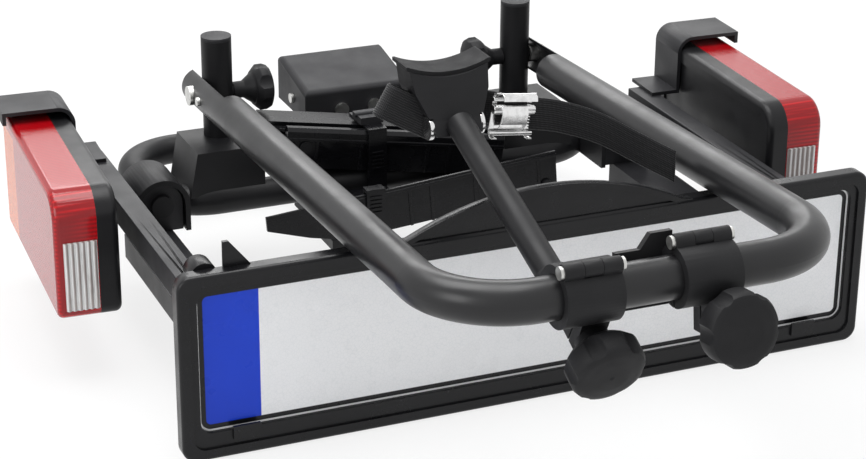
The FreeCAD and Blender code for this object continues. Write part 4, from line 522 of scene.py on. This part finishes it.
def make_webbing():
    """The long end that droops to the right and the loop at the left of the cradle."""
    bm = bmesh.new()
    uv = bm.loops.layers.uv.new("weave")
    upright = Vector((0, 0, 1))
    tape(bm, uv, curve_through(DROOPING_END), upright)
    place = placed(LOOP_SPOT, LOOP_TURN)
    loop = [place @ (Vector((x, y, TAPE_WIDE / 2)) * MM) for x, y in loop_path()]
    tape(bm, uv, loop, (place.to_3x3() @ upright).normalized())
    obj = finish_mesh("webbing", bm, "webbing")
    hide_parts("cradle_strap")
    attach(obj, "holder_long")


# Buckle: pressed sheets and rods along X, from their sections in YZ
BUCKLE_SPOT, BUCKLE_TURN = (-3, -66.5, 205), 7
SHEET_THICK = 1.1
SIDE_PLATE = ((-7, -15.5), (-3, -16), (0, -14), (0, 0), (0, 13), (-2, 16), (-6, 17.5))
END_PLATE = ((0.4, -13), (0.4, -6))
THUMB_PLATE = ((-1, 12), (-4, 16), (-9, 18), (-12, 17), (-13, 14))
CAM_PLATE = ((-5, 8), (-7, 2), (-6, -5), (-3, -9))
# Each sheet: its section, and where it begins and ends along X
BUCKLE_SHEETS = (
    (SIDE_PLATE, -16, -12),
    (SIDE_PLATE, 12, 16),
    (END_PLATE, -13, 13),
    (THUMB_PLATE, -13.5, 13.5),
    (CAM_PLATE, -10.5, 10.5),
)
# Each rod: half its length, its middle in Y and Z, its radius and the number of its teeth
BUCKLE_RODS = (
    (16.5, -3.5, 5, 3.4, 9),
    (17.5, -4, 13, 1.6, 0),
    (17, -3, -13, 1.6, 0),
)
PLAIN_ROD_SIDES = 20
TOOTH_ROOT = 0.84  # share of the cam's radius at the foot of its teeth


def add_prism(bm, place, section, low, high):
    """A closed body whose section, points in the YZ plane in metres, is drawn out along X."""
    ends = []
    for x in (low * MM, high * MM):
        ends.append([bm.verts.new(place @ (spot + Vector((x, 0, 0)))) for spot in section])
    count = len(section)
    for index in range(count):
        after = (index + 1) % count
        bm.faces.new((ends[0][index], ends[0][after], ends[1][after], ends[1][index]))
    for end in ends:
        bm.faces.new(end)


def add_sheet(bm, place, section, low, high):
    """A bent metal sheet from low to high along X."""
    inner = [Vector((0, y, z)) * MM for y, z in section]
    outer = []
    for index, spot in enumerate(inner):
        before = inner[max(index - 1, 0)]
        after = inner[min(index + 1, len(inner) - 1)]
        outer.append(spot + (after - before).normalized().cross(Vector((1, 0, 0))) * SHEET_THICK * MM)
    add_prism(bm, place, inner + outer[::-1], low, high)


def add_rod(bm, place, half_long, y, z, radius, teeth):
    """A rod along X about the middle, toothed where it has teeth."""
    count = teeth * 2 if teeth else PLAIN_ROD_SIDES
    section = []
    for index in range(count):
        angle = math.tau * index / count
        reach = radius * (TOOTH_ROOT if teeth and index % 2 else 1.0)
        section.append(Vector((0, y + reach * math.cos(angle), z + reach * math.sin(angle))) * MM)
    add_prism(bm, place, section, -half_long, half_long)


def make_buckle():
    """A pressed cam buckle: folded frame, toothed cam with its thumb plate, and two cross bars."""
    bm = bmesh.new()
    place = placed(BUCKLE_SPOT, BUCKLE_TURN)
    for sheet in BUCKLE_SHEETS:
        add_sheet(bm, place, *sheet)
    for rod in BUCKLE_RODS:
        add_rod(bm, place, *rod)
    obj = finish_mesh("cam_buckle", bm, "chrome")
    bevel(obj, 0.3)
    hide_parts("strap_buckle")
    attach(obj, "holder_long")


make_webbing()
make_buckle()


# Floor, backdrop light, lamps and camera; lengths are in metres
FLOOR_HALF, FLOOR_LEVEL = 6.0, -0.0006
FLOOR_GREY, FLOOR_GLOW_SHARE = (0.9, 0.9, 0.9, 1), 0.8
BACKDROP, FILL_COLOUR, FILL_STRENGTH = (1, 1, 1, 1), (0.97, 0.98, 1, 1), 0.48
# Each lamp: name, place, point it looks at, width, length, power in watts
LAMPS = (
    ("top", (-0.2, 0.2, 1.6), (0, 0.05, 0.1), 1.0, 1.4, 25.0),
    ("left", (-1.7, -0.7, 0.9), (0, 0, 0.1), 0.9, 0.9, 9.0),
    ("back", (0.5, 1.6, 1.1), (0, 0, 0.15), 1.4, 0.5, 10.0),
)
# The camera, as the plate's four corners give it
CAMERA_SPOT = (-0.653, -1.465, 0.765)
CAMERA_RIGHT, CAMERA_BACK = (0.922, -0.386, 0.007), (-0.358, -0.849, 0.389)
FOCAL_LENGTH, SENSOR_WIDTH = 94.07, 36.0  # in mm
NEAREST = 0.05


def floor():
    """A white floor that takes shadows and stays bright to the camera and in reflections."""
    corners = [(-FLOOR_HALF, -FLOOR_HALF, FLOOR_LEVEL), (FLOOR_HALF, -FLOOR_HALF, FLOOR_LEVEL),
               (FLOOR_HALF, FLOOR_HALF, FLOOR_LEVEL), (-FLOOR_HALF, FLOOR_HALF, FLOOR_LEVEL)]
    mesh = bpy.data.meshes.new("floor")
    mesh.from_pydata(corners, [], [(0, 1, 2, 3)])
    ground = bpy.data.materials.new("floor_white")
    nodes = Nodes(ground)
    matt = nodes.add("ShaderNodeBsdfDiffuse", {"Color": FLOOR_GREY})
    glow = nodes.add("ShaderNodeEmission", {"Color": BACKDROP, "Strength": 1.0})
    share = nodes.reckon("MULTIPLY", nodes.seen_by("Is Camera Ray", "Is Glossy Ray"), FLOOR_GLOW_SHARE)
    nodes.join(share, matt.outputs["BSDF"], glow.outputs["Emission"], "ShaderNodeOutputMaterial")
    sheet = add_object("floor", mesh)
    sheet.data.materials.append(ground)


def backdrop():
    """A soft fill on the object, behind which the camera sees plain white."""
    world = bpy.data.worlds.new("studio")
    bpy.context.scene.world = world
    nodes = Nodes(world)
    fill = nodes.add("ShaderNodeBackground", {"Color": FILL_COLOUR, "Strength": FILL_STRENGTH})
    seen = nodes.add("ShaderNodeBackground", {"Color": BACKDROP, "Strength": 1.0})
    share = nodes.seen_by("Is Camera Ray", "Is Glossy Ray", "Is Transmission Ray")
    nodes.join(share, fill.outputs["Background"], seen.outputs["Background"], "ShaderNodeOutputWorld")


def lamp(name, spot, aim, wide, long, power):
    light = bpy.data.lights.new(name, "AREA")
    light.shape = "RECTANGLE"
    light.size = wide
    light.size_y = long
    light.energy = power
    holder = add_object("light_" + name, light)
    holder.location = spot
    holder.rotation_mode = "QUATERNION"
    holder.rotation_quaternion = (Vector(aim) - Vector(spot)).to_track_quat("-Z", "Y")


def camera():
    data = bpy.data.cameras.new("camera")
    data.lens = FOCAL_LENGTH
    data.sensor_width = SENSOR_WIDTH
    data.clip_start = NEAREST
    back = Vector(CAMERA_BACK).normalized()
    up = back.cross(Vector(CAMERA_RIGHT).normalized()).normalized()
    right = up.cross(back).normalized()
    turn = Matrix((right, up, back)).transposed()
    holder = add_object("camera", data)
    holder.matrix_world = Matrix.Translation(CAMERA_SPOT) @ turn.to_4x4()
    bpy.context.scene.camera = holder


floor()
backdrop()
for values in LAMPS:
    lamp(*values)
camera()
bpy.context.scene.view_settings.view_transform = "Standard"
